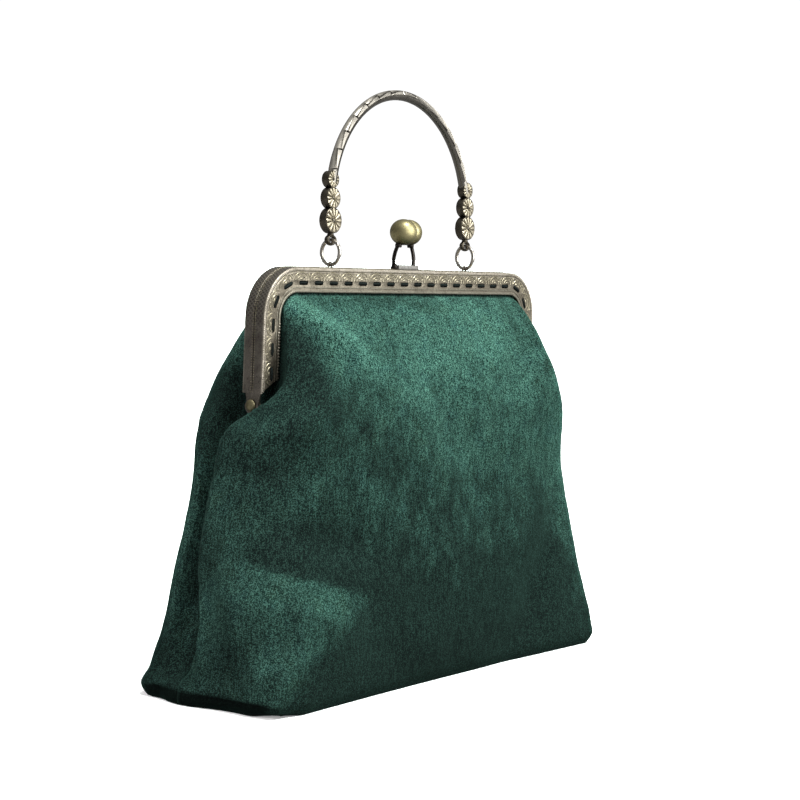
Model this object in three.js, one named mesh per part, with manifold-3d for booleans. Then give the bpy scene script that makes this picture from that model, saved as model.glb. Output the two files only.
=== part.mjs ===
import * as THREE from "three";
import { mergeVertices } from "three/addons/utils/BufferGeometryUtils.js";
import Module from "manifold-3d";

const wasm = await Module();
wasm.setup();

// Sizes in millimetres, X along the frame, front at -Y, floor at Z 0
const frameHalfWidth = 100;
const frameTop = 180.3;
const hingeHeight = 123;
const cornerRadius = 21;
const faceWidth = 10.6;
const halfDepth = 4.9;
const plate = 0.8;
const rimWall = 1;
const parting = 0.2;
const lipWidth = 8.6;
const faceEndRise = 5;
const faceEndSlant = 6;
const slotRow = 6.5;
const slotLength = 5.8;
const slotHeight = 1.8;
const slotCount = 26;
const reliefHeight = 0.4;
const tabRadius = 3.6;
const tabReach = 12;
const rivetRadius = 1.1;
const rivetHole = 1.45;
const gap = 0.3;
const clothWall = 1.9;
const mouthHalfGap = 1.5;
const ringSpan = 50;
const ringRadius = 5.35;
const ringWire = 0.85;
const ringPlane = 1.8;
const ringCentre = frameTop + ringRadius + ringWire + gap + 0.05;
const eyeRadius = 2.6;
const eyeHole = 1.4;
const eyeThick = 2.2;
const archRadius = 50;
const archRise = 27.8;
const rodRadius = 2.25;
const handleLean = 2.8;
const rosetteThick = 4.4;
const ballRadius = 5.85;
const claspShift = 1;
const ballHeight = frameTop + 16.8;

// Rosettes of one handle end, from the eye upwards
const rosettes = [
  { rise: 20.2, radius: 5.5 },
  { rise: 29.8, radius: 4.65 },
  { rise: 37.8, radius: 3.7 },
];

// Cross sections of the soft body from the floor to the mouth
const sections = [
  { z: 0, width: 120, depth: 31, round: 4, crown: 0, dent: 0, dentHalf: 9, seam: 6.5 },
  { z: 2, width: 121.4, depth: 35, round: 4, crown: 0.2, dent: 0.2, dentHalf: 9, seam: 6.5 },
  { z: 7, width: 121.6, depth: 37.4, round: 5, crown: 0.4, dent: 1, dentHalf: 9, seam: 6.5 },
  { z: 30, width: 119.4, depth: 33, round: 9, crown: 2.5, dent: 4, dentHalf: 10, seam: 6.8 },
  { z: 60, width: 117, depth: 29.6, round: 14, crown: 4, dent: 6, dentHalf: 11, seam: 7 },
  { z: 94, width: 112.6, depth: 27, round: 17, crown: 3.5, dent: 8, dentHalf: 11, seam: 7 },
  { z: 108, width: 110.6, depth: 27.6, round: 17, crown: 2, dent: 11, dentHalf: 11, seam: 6.5 },
  { z: 116, width: 108, depth: 28.2, round: 16, crown: 0.5, dent: 15, dentHalf: 12, seam: 3.5 },
  { z: 124, width: 103, depth: 28, round: 14, crown: -1, dent: 15.5, dentHalf: 15, seam: 0 },
  { z: 134, width: 97, depth: 26, round: 11, crown: -2, dent: 9.8, dentHalf: 16, seam: 0 },
  { z: 145, width: 93, depth: 21, round: 9, crown: -2, dent: 5.8, dentHalf: 14, seam: 0 },
  { z: 155, width: 90, depth: 15, round: 6, crown: -1, dent: 3, dentHalf: 10.5, seam: 0 },
  { z: 163, width: 87.6, depth: 8.2, round: 3, crown: 0, dent: 1.4, dentHalf: 8, seam: 0 },
  { z: 168.3, width: 82.5, depth: 3.6, round: 1.4, crown: 0, dent: 0, dentHalf: 6, seam: 0 },
];

// Soft folds, out of the cloth where the rise is above zero; side -1 is the front
const folds = [
  { side: -1, x: -64, z: 152, turn: -34, length: 30, width: 9, rise: 2.4 },
  { side: -1, x: -76, z: 138, turn: -52, length: 24, width: 9, rise: -2.2 },
  { side: -1, x: -80, z: 66, turn: -4, length: 44, width: 11, rise: -3.6 },
  { side: -1, x: -70, z: 40, turn: 6, length: 40, width: 16, rise: 2.6 },
  { side: -1, x: 72, z: 36, turn: 52, length: 42, width: 11, rise: -2.4 },
  { side: -1, x: 66, z: 140, turn: 48, length: 32, width: 10, rise: -2 },
  { side: -1, x: 8, z: 112, turn: -62, length: 46, width: 13, rise: -2 },
  { side: -1, x: 100, z: 86, turn: 78, length: 34, width: 24, rise: -3.4 },
  { side: 1, x: -62, z: 146, turn: -40, length: 32, width: 10, rise: -2.2 },
  { side: 1, x: 60, z: 146, turn: 42, length: 32, width: 10, rise: -2 },
  { side: 1, x: -94, z: 116, turn: 82, length: 40, width: 26, rise: 2.2 },
  { side: 1, x: -10, z: 60, turn: 12, length: 56, width: 13, rise: -2.6 },
];

// The seam that joins front and back, from the floor to above the mouth
const seamLine = [
  { z: -20, y: 6.5 },
  { z: 30, y: 6.8 },
  { z: 60, y: 7 },
  { z: 94, y: 7 },
  { z: 108, y: 6.5 },
  { z: 116, y: 3.5 },
  { z: 124, y: 0 },
  { z: 220, y: 0 },
];

// Solids from geometry and back
function toSolid(geometry) {
  const bare = new THREE.BufferGeometry();
  bare.setAttribute("position", geometry.getAttribute("position").clone());
  bare.setIndex(geometry.index);
  const merged = mergeVertices(bare, 1e-4);
  const corners = [];
  const index = merged.index.array;
  for (let i = 0; i < index.length; i += 3) {
    const [a, b, c] = [index[i], index[i + 1], index[i + 2]];
    if (a !== b && b !== c && c !== a) {
      corners.push(a, b, c);
    }
  }
  return new wasm.Manifold(
    new wasm.Mesh({
      numProp: 3,
      vertProperties: new Float32Array(merged.getAttribute("position").array),
      triVerts: new Uint32Array(corners),
    }),
  );
}

function toGeometry(solid) {
  const mesh = solid.getMesh();
  const points = new Float32Array(mesh.numVert * 3);
  for (let i = 0; i < mesh.numVert; i += 1) {
    for (let k = 0; k < 3; k += 1) {
      points[i * 3 + k] = mesh.vertProperties[i * mesh.numProp + k];
    }
  }
  const geometry = new THREE.BufferGeometry();
  geometry.setAttribute("position", new THREE.BufferAttribute(points, 3));
  geometry.setIndex(new THREE.BufferAttribute(new Uint32Array(mesh.triVerts), 1));
  geometry.computeVertexNormals();
  return geometry;
}

function join(solids) {
  return wasm.Manifold.union(solids).simplify(0.03);
}

// A flat outline in the XZ plane, thick from yFrom to yTo
function slabXZ(shape, yFrom, yTo) {
  const geometry = new THREE.ExtrudeGeometry(shape, {
    depth: yTo - yFrom,
    bevelEnabled: false,
    curveSegments: 6,
  });
  geometry.rotateX(Math.PI / 2);
  geometry.translate(0, yTo, 0);
  return toSolid(geometry);
}

// A flat outline in the YZ plane, thick from xFrom to xTo
function slabYZ(shape, xFrom, xTo) {
  const geometry = new THREE.ExtrudeGeometry(shape, {
    depth: xTo - xFrom,
    bevelEnabled: false,
    curveSegments: 6,
  });
  const turn = new THREE.Matrix4().makeBasis(
    new THREE.Vector3(0, 1, 0),
    new THREE.Vector3(0, 0, 1),
    new THREE.Vector3(1, 0, 0),
  );
  geometry.applyMatrix4(turn);
  geometry.translate(xFrom, 0, 0);
  return toSolid(geometry);
}

function block(xFrom, xTo, yFrom, yTo, zFrom, zTo) {
  const geometry = new THREE.BoxGeometry(xTo - xFrom, yTo - yFrom, zTo - zFrom);
  geometry.translate((xFrom + xTo) / 2, (yFrom + yTo) / 2, (zFrom + zTo) / 2);
  return toSolid(geometry);
}

// The bent path of the frame at a distance inside its outer edge
function faceEnd(inset) {
  return hingeHeight + faceEndRise + (faceEndSlant * inset) / faceWidth;
}

function framePath(inset, footHeight) {
  const half = frameHalfWidth - inset;
  const top = frameTop - inset;
  const radius = cornerRadius - inset;
  const steps = 7;
  const points = [new THREE.Vector2(-half, footHeight)];
  for (let i = 0; i <= steps; i += 1) {
    const angle = Math.PI - (i / steps) * (Math.PI / 2);
    points.push(
      new THREE.Vector2(-half + radius + radius * Math.cos(angle), top - radius + radius * Math.sin(angle)),
    );
  }
  const mirrored = points.map((p) => new THREE.Vector2(-p.x, p.y)).reverse();
  return points.concat(mirrored);
}

function frameBand(insetOuter, insetInner, footOuter, footInner) {
  const outer = framePath(insetOuter, footOuter);
  const inner = framePath(insetInner, footInner).reverse();
  return new THREE.Shape(outer.concat(inner));
}

// Places spread evenly along the slot row, with the direction of the row
function rowPlaces(inset, count, footHeight) {
  const half = frameHalfWidth - inset;
  const radius = cornerRadius - inset;
  const straight = frameTop - cornerRadius - footHeight;
  const bend = (radius * Math.PI) / 2;
  const top = 2 * (half - radius);
  const total = 2 * straight + 2 * bend + top;
  const places = [];
  for (let i = 0; i < count; i += 1) {
    const along = (total * (i + 0.5)) / count;
    const mirrorSide = along > total / 2 ? -1 : 1;
    const reach = mirrorSide > 0 ? along : total - along;
    let x = -half;
    let z = footHeight + reach;
    let angle = Math.PI / 2;
    if (reach > straight + bend) {
      x = -half + radius + (reach - straight - bend);
      z = frameTop - inset;
      angle = 0;
    } else if (reach > straight) {
      const turn = (reach - straight) / radius;
      x = -half + radius - radius * Math.cos(turn);
      z = frameTop - cornerRadius + radius * Math.sin(turn);
      angle = Math.PI / 2 - turn;
    }
    places.push({ x: x * mirrorSide, z, angle: angle * mirrorSide });
  }
  return places;
}

function slotOutline(place) {
  const outline = [
    [-slotLength / 2, 0],
    [-slotLength / 2 + 0.6, -slotHeight / 2],
    [slotLength / 2 - 0.6, -slotHeight / 2],
    [slotLength / 2, 0],
    [slotLength / 2 - 0.6, slotHeight / 2],
    [-slotLength / 2 + 0.6, slotHeight / 2],
  ];
  const c = Math.cos(place.angle);
  const s = Math.sin(place.angle);
  return outline.map(([u, v]) => new THREE.Vector2(place.x + u * c - v * s, place.z + u * s + v * c));
}

// A raised arch over one slot
function archOutline(place) {
  const steps = 2;
  const outline = [];
  for (let i = 0; i <= steps; i += 1) {
    const angle = Math.PI * (1 - i / steps);
    outline.push([4.1 * Math.cos(angle), 2.7 * Math.sin(angle)]);
  }
  for (let i = 0; i <= steps; i += 1) {
    const angle = (Math.PI * i) / steps;
    outline.push([3.1 * Math.cos(angle), 1.7 * Math.sin(angle)]);
  }
  const c = Math.cos(place.angle);
  const s = Math.sin(place.angle);
  return new THREE.Shape(
    outline.map(([u, v]) => new THREE.Vector2(place.x + u * c - v * s, place.z + u * s + v * c)),
  );
}

// One half of the frame as a front half: face, rim wall, lip and ornament
const slotPlaces = rowPlaces(slotRow, slotCount, hingeHeight + faceEndRise + faceEndSlant);
const archPlaces = rowPlaces(slotRow - 1.7, slotCount, hingeHeight + faceEndRise + faceEndSlant);

function channelHalf(wallFoot) {
  const face = frameBand(0, faceWidth, faceEnd(0), faceEnd(faceWidth));
  for (const place of slotPlaces) {
    face.holes.push(new THREE.Path(slotOutline(place)));
  }
  const front = -halfDepth;
  const proud = front - reliefHeight;
  const sunk = front + 0.2;
  const pieces = [
    slabXZ(face, front, front + plate),
    slabXZ(frameBand(0, rimWall, wallFoot, wallFoot), front, -parting),
    slabXZ(frameBand(0, lipWidth, wallFoot + 4, faceEnd(lipWidth)), -parting - plate, -parting),
    slabXZ(frameBand(0, 1.3, faceEnd(0), faceEnd(1.3)), proud, sunk),
    slabXZ(frameBand(faceWidth - 1.1, faceWidth, faceEnd(faceWidth - 1.1), faceEnd(faceWidth)), proud, sunk),
  ];
  for (const place of archPlaces) {
    pieces.push(slabXZ(archOutline(place), proud, sunk));
  }
  return join(pieces);
}

// A hinge tab in the YZ plane: a rounded foot round the rivet with its hole
function tabShape(wallFrom, wallTo) {
  const shape = new THREE.Shape();
  shape.moveTo(wallFrom, hingeHeight + tabReach);
  shape.lineTo(wallFrom, hingeHeight + 6.5);
  const steps = 10;
  for (let i = 0; i <= steps; i += 1) {
    const angle = Math.PI + (Math.PI * i) / steps;
    shape.lineTo(tabRadius * Math.cos(angle), hingeHeight + tabRadius * Math.sin(angle));
  }
  shape.lineTo(wallTo, hingeHeight + 6.5);
  shape.lineTo(wallTo, hingeHeight + tabReach);
  const hole = new THREE.Path();
  hole.absarc(0, hingeHeight, rivetHole, 0, Math.PI * 2, false);
  shape.holes.push(hole);
  return shape;
}

// Front half: its tabs lie in the outer layer
const outerLayer = [frameHalfWidth - rimWall, frameHalfWidth];
const innerLayer = [outerLayer[0] - gap - 1, outerLayer[0] - gap];
const frontTab = tabShape(-halfDepth, -parting);
const frontSolid = join([
  channelHalf(hingeHeight + 6.5),
  slabYZ(frontTab, -outerLayer[1], -outerLayer[0]),
  slabYZ(frontTab, outerLayer[0], outerLayer[1]),
]);

// Staple that holds a ring down on the back half
function staple(x) {
  const inside = ringWire + gap + 0.05;
  const outside = inside + 1.1;
  const wireHeight = ringWire + gap + 0.05;
  const shape = new THREE.Shape();
  const steps = 8;
  shape.moveTo(x - outside, frameTop - 0.5);
  shape.lineTo(x - inside, frameTop - 0.5);
  for (let i = 0; i <= steps; i += 1) {
    const angle = Math.PI * (1 - i / steps);
    shape.lineTo(x + inside * Math.cos(angle), frameTop + wireHeight + inside * Math.sin(angle));
  }
  shape.lineTo(x + inside, frameTop - 0.5);
  shape.lineTo(x + outside, frameTop - 0.5);
  for (let i = 0; i <= steps; i += 1) {
    const angle = (Math.PI * i) / steps;
    shape.lineTo(x + outside * Math.cos(angle), frameTop + wireHeight + outside * Math.sin(angle));
  }
  return slabXZ(shape, ringPlane - 0.65, ringPlane + 0.65);
}

// Back half: its tabs lie in the inner layer, and it carries the staples
const backTab = tabShape(-halfDepth, -parting);
const backBridge = [hingeHeight + 8, hingeHeight + tabReach];
const backMirrored = join([
  channelHalf(hingeHeight + 7.5),
  slabYZ(backTab, -innerLayer[1], -innerLayer[0]),
  slabYZ(backTab, innerLayer[0], innerLayer[1]),
  block(-outerLayer[0] - 0.2, -innerLayer[1] + 0.2, -halfDepth, -parting, backBridge[0], backBridge[1]),
  block(innerLayer[1] - 0.2, outerLayer[0] + 0.2, -halfDepth, -parting, backBridge[0], backBridge[1]),
]);
const backSolid = join([backMirrored.mirror([0, 1, 0]), staple(-ringSpan), staple(ringSpan)]);

// A turned piece about the X axis, from rows of radius and place along X
function turnedX(rows, sides) {
  const profile = rows.map(([radius, along]) => new THREE.Vector2(radius, along));
  const geometry = new THREE.LatheGeometry(profile, sides);
  geometry.rotateZ(-Math.PI / 2);
  return toSolid(geometry);
}

function rivet(side) {
  const outside = frameHalfWidth + gap;
  const inside = innerLayer[0] - gap;
  const rows = [
    [0, inside - 0.8],
    [1.9, inside - 0.8],
    [1.9, inside],
    [rivetRadius, inside],
    [rivetRadius, outside],
    [2.2, outside],
    [2, outside + 0.6],
    [1.2, outside + 1.2],
    [0, outside + 1.45],
  ];
  const solid = turnedX(rows, 10).translate([0, 0, hingeHeight]);
  return side > 0 ? solid : solid.mirror([1, 0, 0]);
}

// Smooth values of the section table at any height
function tableAt(z, key) {
  const last = sections.length - 1;
  let k = 0;
  while (k < last - 1 && sections[k + 1].z < z) {
    k += 1;
  }
  const slope = (i) => {
    if (i === 0 || i === last) {
      const j = i === 0 ? 0 : last - 1;
      return (sections[j + 1][key] - sections[j][key]) / (sections[j + 1].z - sections[j].z);
    }
    const before = (sections[i][key] - sections[i - 1][key]) / (sections[i].z - sections[i - 1].z);
    const after = (sections[i + 1][key] - sections[i][key]) / (sections[i + 1].z - sections[i].z);
    return before * after > 0 ? (2 * before * after) / (before + after) : 0;
  };
  const span = sections[k + 1].z - sections[k].z;
  const t = Math.min(1, Math.max(0, (z - sections[k].z) / span));
  const [a, b] = [sections[k][key], sections[k + 1][key]];
  const [m, n] = [slope(k) * span, slope(k + 1) * span];
  return (
    a * (2 * t ** 3 - 3 * t ** 2 + 1) +
    m * (t ** 3 - 2 * t ** 2 + t) +
    b * (3 * t ** 2 - 2 * t ** 3) +
    n * (t ** 3 - t ** 2)
  );
}

function foldRise(side, x, z) {
  let rise = 0;
  for (const fold of folds) {
    if (fold.side !== side) {
      continue;
    }
    const c = Math.cos((fold.turn * Math.PI) / 180);
    const s = Math.sin((fold.turn * Math.PI) / 180);
    const along = ((x - fold.x) * c + (z - fold.z) * s) / fold.length;
    const across = (-(x - fold.x) * s + (z - fold.z) * c) / fold.width;
    rise += fold.rise * Math.exp(-along * along - across * across);
  }
  return rise;
}

// One closed outline round the body, drawn in by an inset
function bodyOutline(z, inset, facePoints) {
  const width = tableAt(z, "width") - inset;
  const depth = tableAt(z, "depth") - inset;
  const round = Math.max(0.5, tableAt(z, "round") - inset);
  const crown = tableAt(z, "crown");
  const dent = tableAt(z, "dent");
  const dentHalf = tableAt(z, "dentHalf") + inset;
  const seam = tableAt(z, "seam");
  const sidePoints = 8;
  const bendPoints = 2;
  const flatX = width - round;
  const flatY = depth - round;
  const sideX = (y) => {
    const t = Math.abs(y - seam) / dentHalf;
    return width - (t < 1 ? dent * (1 - t ** 4) ** 2 : 0);
  };
  const quarter = [];
  const points = [];
  const put = (x, y) => {
    const share = Math.min(1, Math.abs(y) / Math.max(depth, 1));
    const side = y < 0 ? -1 : 1;
    const flat = Math.max(0, 1 - (x / flatX) ** 2);
    const rise = crown * flat + foldRise(side, x, z) * Math.min(1, depth / 14);
    points.push(new THREE.Vector2(x, y + side * rise * share * share));
  };
  for (let i = 0; i <= sidePoints; i += 1) {
    const y = -flatY + (2 * flatY * i) / sidePoints;
    quarter.push([sideX(y), y]);
  }
  for (const [x, y] of quarter) {
    put(x, y);
  }
  for (let i = 1; i <= bendPoints; i += 1) {
    const angle = (Math.PI / 2) * (i / (bendPoints + 1));
    put(flatX + round * Math.cos(angle), flatY + round * Math.sin(angle));
  }
  for (let i = 0; i <= facePoints; i += 1) {
    put(flatX - (2 * flatX * i) / facePoints, depth);
  }
  for (let i = bendPoints; i >= 1; i -= 1) {
    const angle = (Math.PI / 2) * (i / (bendPoints + 1));
    put(-flatX - round * Math.cos(angle), flatY + round * Math.sin(angle));
  }
  for (const [x, y] of quarter.slice().reverse()) {
    put(-x, y);
  }
  for (let i = 1; i <= bendPoints; i += 1) {
    const angle = (Math.PI / 2) * (i / (bendPoints + 1));
    put(-flatX - round * Math.cos(angle), -flatY - round * Math.sin(angle));
  }
  for (let i = 0; i <= facePoints; i += 1) {
    put(-flatX + (2 * flatX * i) / facePoints, -depth);
  }
  for (let i = bendPoints; i >= 1; i -= 1) {
    const angle = (Math.PI / 2) * (i / (bendPoints + 1));
    put(flatX + round * Math.cos(angle), -flatY - round * Math.sin(angle));
  }
  return points;
}

// A closed body through outlines at rising heights
function loft(rows) {
  const count = rows[0].outline.length;
  const points = [];
  const corners = [];
  for (const row of rows) {
    for (const p of row.outline) {
      points.push(p.x, p.y, row.z);
    }
  }
  for (let r = 0; r + 1 < rows.length; r += 1) {
    for (let i = 0; i < count; i += 1) {
      const j = (i + 1) % count;
      const [a, b] = [r * count + i, r * count + j];
      const [c, d] = [a + count, b + count];
      corners.push(a, b, d, a, d, c);
    }
  }
  const floor = THREE.ShapeUtils.triangulateShape(rows[0].outline, []);
  const lid = THREE.ShapeUtils.triangulateShape(rows[rows.length - 1].outline, []);
  const lidStart = (rows.length - 1) * count;
  for (const [a, b, c] of floor) {
    corners.push(a, c, b);
  }
  for (const [a, b, c] of lid) {
    corners.push(lidStart + a, lidStart + b, lidStart + c);
  }
  const geometry = new THREE.BufferGeometry();
  geometry.setAttribute("position", new THREE.Float32BufferAttribute(points, 3));
  geometry.setIndex(corners);
  return toSolid(geometry);
}

// The soft body: outside, inside, and the cutter that parts it along the seam
const outsideHeights = [
  0, 2, 4.5, 8, 20, 32, 42, 52, 62, 74, 86, 97, 107, 114, 119, 124, 131, 139, 147, 155, 162, 168.3,
];
const outside = loft(outsideHeights.map((z) => ({ z, outline: bodyOutline(z, 0, 12) })));
const insideHeights = [2, 6, 30, 60, 94, 108, 116, 124, 134, 145, 155, 163, 168.3];
const insideRows = insideHeights.map((z) => ({
  z: z + clothWall * Math.max(0, 1 - z / 40),
  outline: bodyOutline(z, clothWall, 6),
}));
insideRows.push({ z: 176, outline: bodyOutline(168.3, clothWall, 6) });
const inside = loft(insideRows);
const mouthCut = block(-120, 120, -mouthHalfGap, mouthHalfGap, hingeHeight + 5, 200);
const bodyShell = outside.subtract(inside).subtract(mouthCut);

function seamCutter(side) {
  const edge = seamLine.map((row) => new THREE.Vector2(row.y + (side * gap) / 2, row.z));
  const far = side * 90;
  const outline = edge.concat([new THREE.Vector2(far, 220), new THREE.Vector2(far, -20)]);
  return slabYZ(new THREE.Shape(outline), -200, 200);
}

// The edge of the cloth that is held in the channel of the frame
const tongueDepth = [-3.5, -1.6];
const tongueShape = frameBand(rimWall + 0.8, 13.6, hingeHeight + tabReach + 2, hingeHeight + tabReach + 2);
const tongue = slabXZ(tongueShape, tongueDepth[0], tongueDepth[1]);
const frontPanelSolid = join([bodyShell.intersect(seamCutter(-1)), tongue]);
const backPanelSolid = join([bodyShell.intersect(seamCutter(1)), tongue.mirror([0, 1, 0])]);

// A rod with a round section along a curve
function rod(curve, radius, sides, steps) {
  const section = new THREE.Shape();
  for (let i = 0; i < sides; i += 1) {
    const angle = (2 * Math.PI * i) / sides;
    const [u, v] = [radius * Math.cos(angle), radius * Math.sin(angle)];
    if (i === 0) {
      section.moveTo(u, v);
    } else {
      section.lineTo(u, v);
    }
  }
  return toSolid(new THREE.ExtrudeGeometry(section, { steps, extrudePath: curve, bevelEnabled: false }));
}

// Kiss lock: a ball on a bent stem with a collar and a foot on its own half
function clasp(side) {
  const footY = (side * -halfDepth) / 2;
  const ball = new THREE.Vector3(claspShift + side * 5.45, side * 2.6, ballHeight);
  const foot = new THREE.Vector3(claspShift + side * 4.4, footY, frameTop + gap + 0.6);
  const bend = new THREE.Vector3(claspShift + side * 5.2, footY * 0.7, frameTop + 5.5);
  const curve = new THREE.CatmullRomCurve3([foot, bend, new THREE.Vector3(ball.x, ball.y * 0.75, ball.z - 4)]);
  const round = new THREE.SphereGeometry(ballRadius, 14, 9).rotateX(Math.PI / 2);
  const ballSolid = toSolid(round.translate(ball.x, ball.y, ball.z));
  const sleeve = new THREE.CylinderGeometry(2.1, 2.5, 1.6, 12).rotateX(Math.PI / 2);
  const collar = toSolid(sleeve.translate(ball.x, ball.y * 0.85, ball.z - 6));
  const footFrom = claspShift + side * 4.4 - 4;
  const footPlate = block(footFrom, footFrom + 8, footY - 1.9, footY + 1.9, frameTop + gap, frameTop + gap + 1);
  return join([ballSolid, collar, rod(curve, 0.95, 8, 8), footPlate]);
}

// A ring round the X axis through the place where the handle swings
function ring(x) {
  const profile = [];
  const sides = 6;
  for (let i = 0; i <= sides; i += 1) {
    const angle = (2 * Math.PI * i) / sides;
    profile.push(new THREE.Vector2(ringRadius + ringWire * Math.cos(angle), ringWire * Math.sin(angle)));
  }
  const geometry = new THREE.LatheGeometry(profile, 18);
  geometry.rotateZ(-Math.PI / 2);
  return toSolid(geometry).translate([x, ringPlane, ringCentre]);
}

// Handle: arch, rosettes, necks and eyes in one casting
class ArchCurve extends THREE.Curve {
  getPoint(t, target = new THREE.Vector3()) {
    const angle = Math.PI * (1 - t);
    return target.set(
      archRadius * Math.cos(angle),
      ringPlane,
      frameTop + archRise + archRadius * Math.sin(angle),
    );
  }
}

function rosetteShape(x, z, radius) {
  const petals = 10;
  const shape = new THREE.Shape();
  for (let i = 0; i < petals * 2; i += 1) {
    const angle = (Math.PI * i) / petals;
    const reach = i % 2 ? radius * 0.93 : radius;
    const [u, v] = [x + reach * Math.cos(angle), z + reach * Math.sin(angle)];
    if (i === 0) {
      shape.moveTo(u, v);
    } else {
      shape.lineTo(u, v);
    }
  }
  return shape;
}

function handleEnd(side) {
  const x = side * ringSpan;
  const pieces = rosettes.map((row) =>
    slabXZ(
      rosetteShape(x, frameTop + row.rise, row.radius),
      ringPlane - rosetteThick / 2,
      ringPlane + rosetteThick / 2,
    ),
  );
  const eyeZ = ringCentre + ringRadius;
  const eye = new THREE.Shape();
  eye.absarc(x, eyeZ, eyeRadius, 0, Math.PI * 2, false);
  const hole = new THREE.Path();
  hole.absarc(x, eyeZ, eyeHole, 0, Math.PI * 2, false);
  eye.holes.push(hole);
  pieces.push(slabXZ(eye, ringPlane - eyeThick / 2, ringPlane + eyeThick / 2));
  pieces.push(block(x - 1.3, x + 1.3, ringPlane - 1.3, ringPlane + 1.3, eyeZ + 1.7, frameTop + 17));
  return join(pieces);
}

const handleUpright = join([rod(new ArchCurve(), rodRadius, 8, 24), handleEnd(-1), handleEnd(1)]);
const handleSolid = handleUpright
  .translate([0, -ringPlane, -ringCentre])
  .rotate([-handleLean, 0, 0])
  .translate([0, ringPlane, ringCentre]);

// Materials and the named pieces
const group = new THREE.Group();

function addPiece(name, solid, material) {
  const mesh = new THREE.Mesh(toGeometry(solid), material);
  mesh.name = name;
  group.add(mesh);
}

function velvet() {
  return new THREE.MeshStandardMaterial({ name: "green_velvet", color: 0x1d4f43, roughness: 0.95 });
}

function bronze() {
  const look = { name: "antique_bronze", color: 0x8c8068, roughness: 0.45, metalness: 1 };
  return new THREE.MeshStandardMaterial(look);
}

function brass() {
  const look = { name: "aged_brass", color: 0x8a7c45, roughness: 0.3, metalness: 1 };
  return new THREE.MeshStandardMaterial(look);
}

addPiece("front_panel", frontPanelSolid, velvet());
addPiece("back_panel", backPanelSolid, velvet());
addPiece("front_frame", frontSolid, bronze());
addPiece("back_frame", backSolid, bronze());
addPiece("left_rivet", rivet(-1), brass());
addPiece("right_rivet", rivet(1), brass());
addPiece("back_clasp", clasp(-1), brass());
addPiece("front_clasp", clasp(1), brass());
addPiece("left_ring", ring(-ringSpan), bronze());
addPiece("right_ring", ring(ringSpan), bronze());
addPiece("handle", handleSolid, bronze());

export default group;
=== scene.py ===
import bpy
import bmesh
import math
from mathutils import Matrix, Vector, noise


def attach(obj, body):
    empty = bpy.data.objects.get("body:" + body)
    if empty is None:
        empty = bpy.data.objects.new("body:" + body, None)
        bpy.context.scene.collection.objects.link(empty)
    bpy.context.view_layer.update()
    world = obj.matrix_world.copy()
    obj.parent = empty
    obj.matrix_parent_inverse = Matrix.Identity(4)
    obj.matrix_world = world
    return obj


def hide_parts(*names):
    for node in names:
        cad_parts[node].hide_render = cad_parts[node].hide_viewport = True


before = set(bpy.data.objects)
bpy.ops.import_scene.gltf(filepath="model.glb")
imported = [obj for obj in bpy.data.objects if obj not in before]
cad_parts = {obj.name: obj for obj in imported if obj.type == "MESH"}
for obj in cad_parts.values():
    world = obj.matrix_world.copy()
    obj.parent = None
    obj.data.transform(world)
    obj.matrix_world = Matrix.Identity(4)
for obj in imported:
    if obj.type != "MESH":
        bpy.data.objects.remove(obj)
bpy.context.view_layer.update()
mm = 0.001
scene = bpy.context.scene
print("frame loaded", len(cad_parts), "nodes")


# Mesh helpers, all sizes in millimetres
def combine(parts):
    points = []
    faces = []
    for partPoints, partFaces in parts:
        start = len(points)
        points.extend(partPoints)
        faces.extend([tuple(i + start for i in face) for face in partFaces])
    return points, faces


def addPiece(name, parts, finish, smoothAngle=40, outward=True):
    points, faces = combine(parts)
    mesh = bpy.data.meshes.new(name)
    mesh.from_pydata([Vector(p) * mm for p in points], [], faces)
    if outward:
        work = bmesh.new()
        work.from_mesh(mesh)
        bmesh.ops.remove_doubles(work, verts=work.verts, dist=1e-7)
        bmesh.ops.recalc_face_normals(work, faces=work.faces)
        work.to_mesh(mesh)
        work.free()
    mesh.shade_smooth()
    mesh.set_sharp_from_angle(angle=math.radians(smoothAngle))
    mesh.materials.append(finish)
    piece = bpy.data.objects.new(name, mesh)
    scene.collection.objects.link(piece)
    return piece


def skin(rings, closed=True, capped=True, loop=False):
    count = len(rings[0])
    points = [p for ring in rings for p in ring]
    faces = []
    lastRow = len(rings) if loop else len(rings) - 1
    lastColumn = count if closed else count - 1
    for r in range(lastRow):
        for c in range(lastColumn):
            a = r * count + c
            b = r * count + (c + 1) % count
            up = ((r + 1) % len(rings)) * count
            faces.append((a, b, up + (c + 1) % count, up + c))
    if capped and not loop:
        faces.append(tuple(reversed(range(count))))
        faces.append(tuple(range(len(points) - count, len(points))))
    return points, faces


def tube(path, radius, sides=10, loop=False):
    rings = []
    count = len(path)
    normal = None
    for i, spot in enumerate(path):
        before = path[i - 1] if i > 0 or loop else spot
        after = path[(i + 1) % count] if i + 1 < count or loop else spot
        along = (after - before).normalized()
        if normal is None:
            normal = along.orthogonal().normalized()
        normal = (normal - along * normal.dot(along)).normalized()
        across = along.cross(normal)
        reach = radius[i] if isinstance(radius, list) else radius
        turns = [2 * math.pi * k / sides for k in range(sides)]
        rings.append([spot + (normal * math.cos(t) + across * math.sin(t)) * reach for t in turns])
    return skin(rings, loop=loop)


def turned(profile, centre, axis, steps=32):
    axis = Vector(axis).normalized()
    first = axis.orthogonal().normalized()
    second = axis.cross(first)
    rings = []
    for reach, along in profile:
        ring = []
        for k in range(steps):
            t = 2 * math.pi * k / steps
            ring.append(Vector(centre) + axis * along + (first * math.cos(t) + second * math.sin(t)) * reach)
        rings.append(ring)
    return skin(rings)


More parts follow.
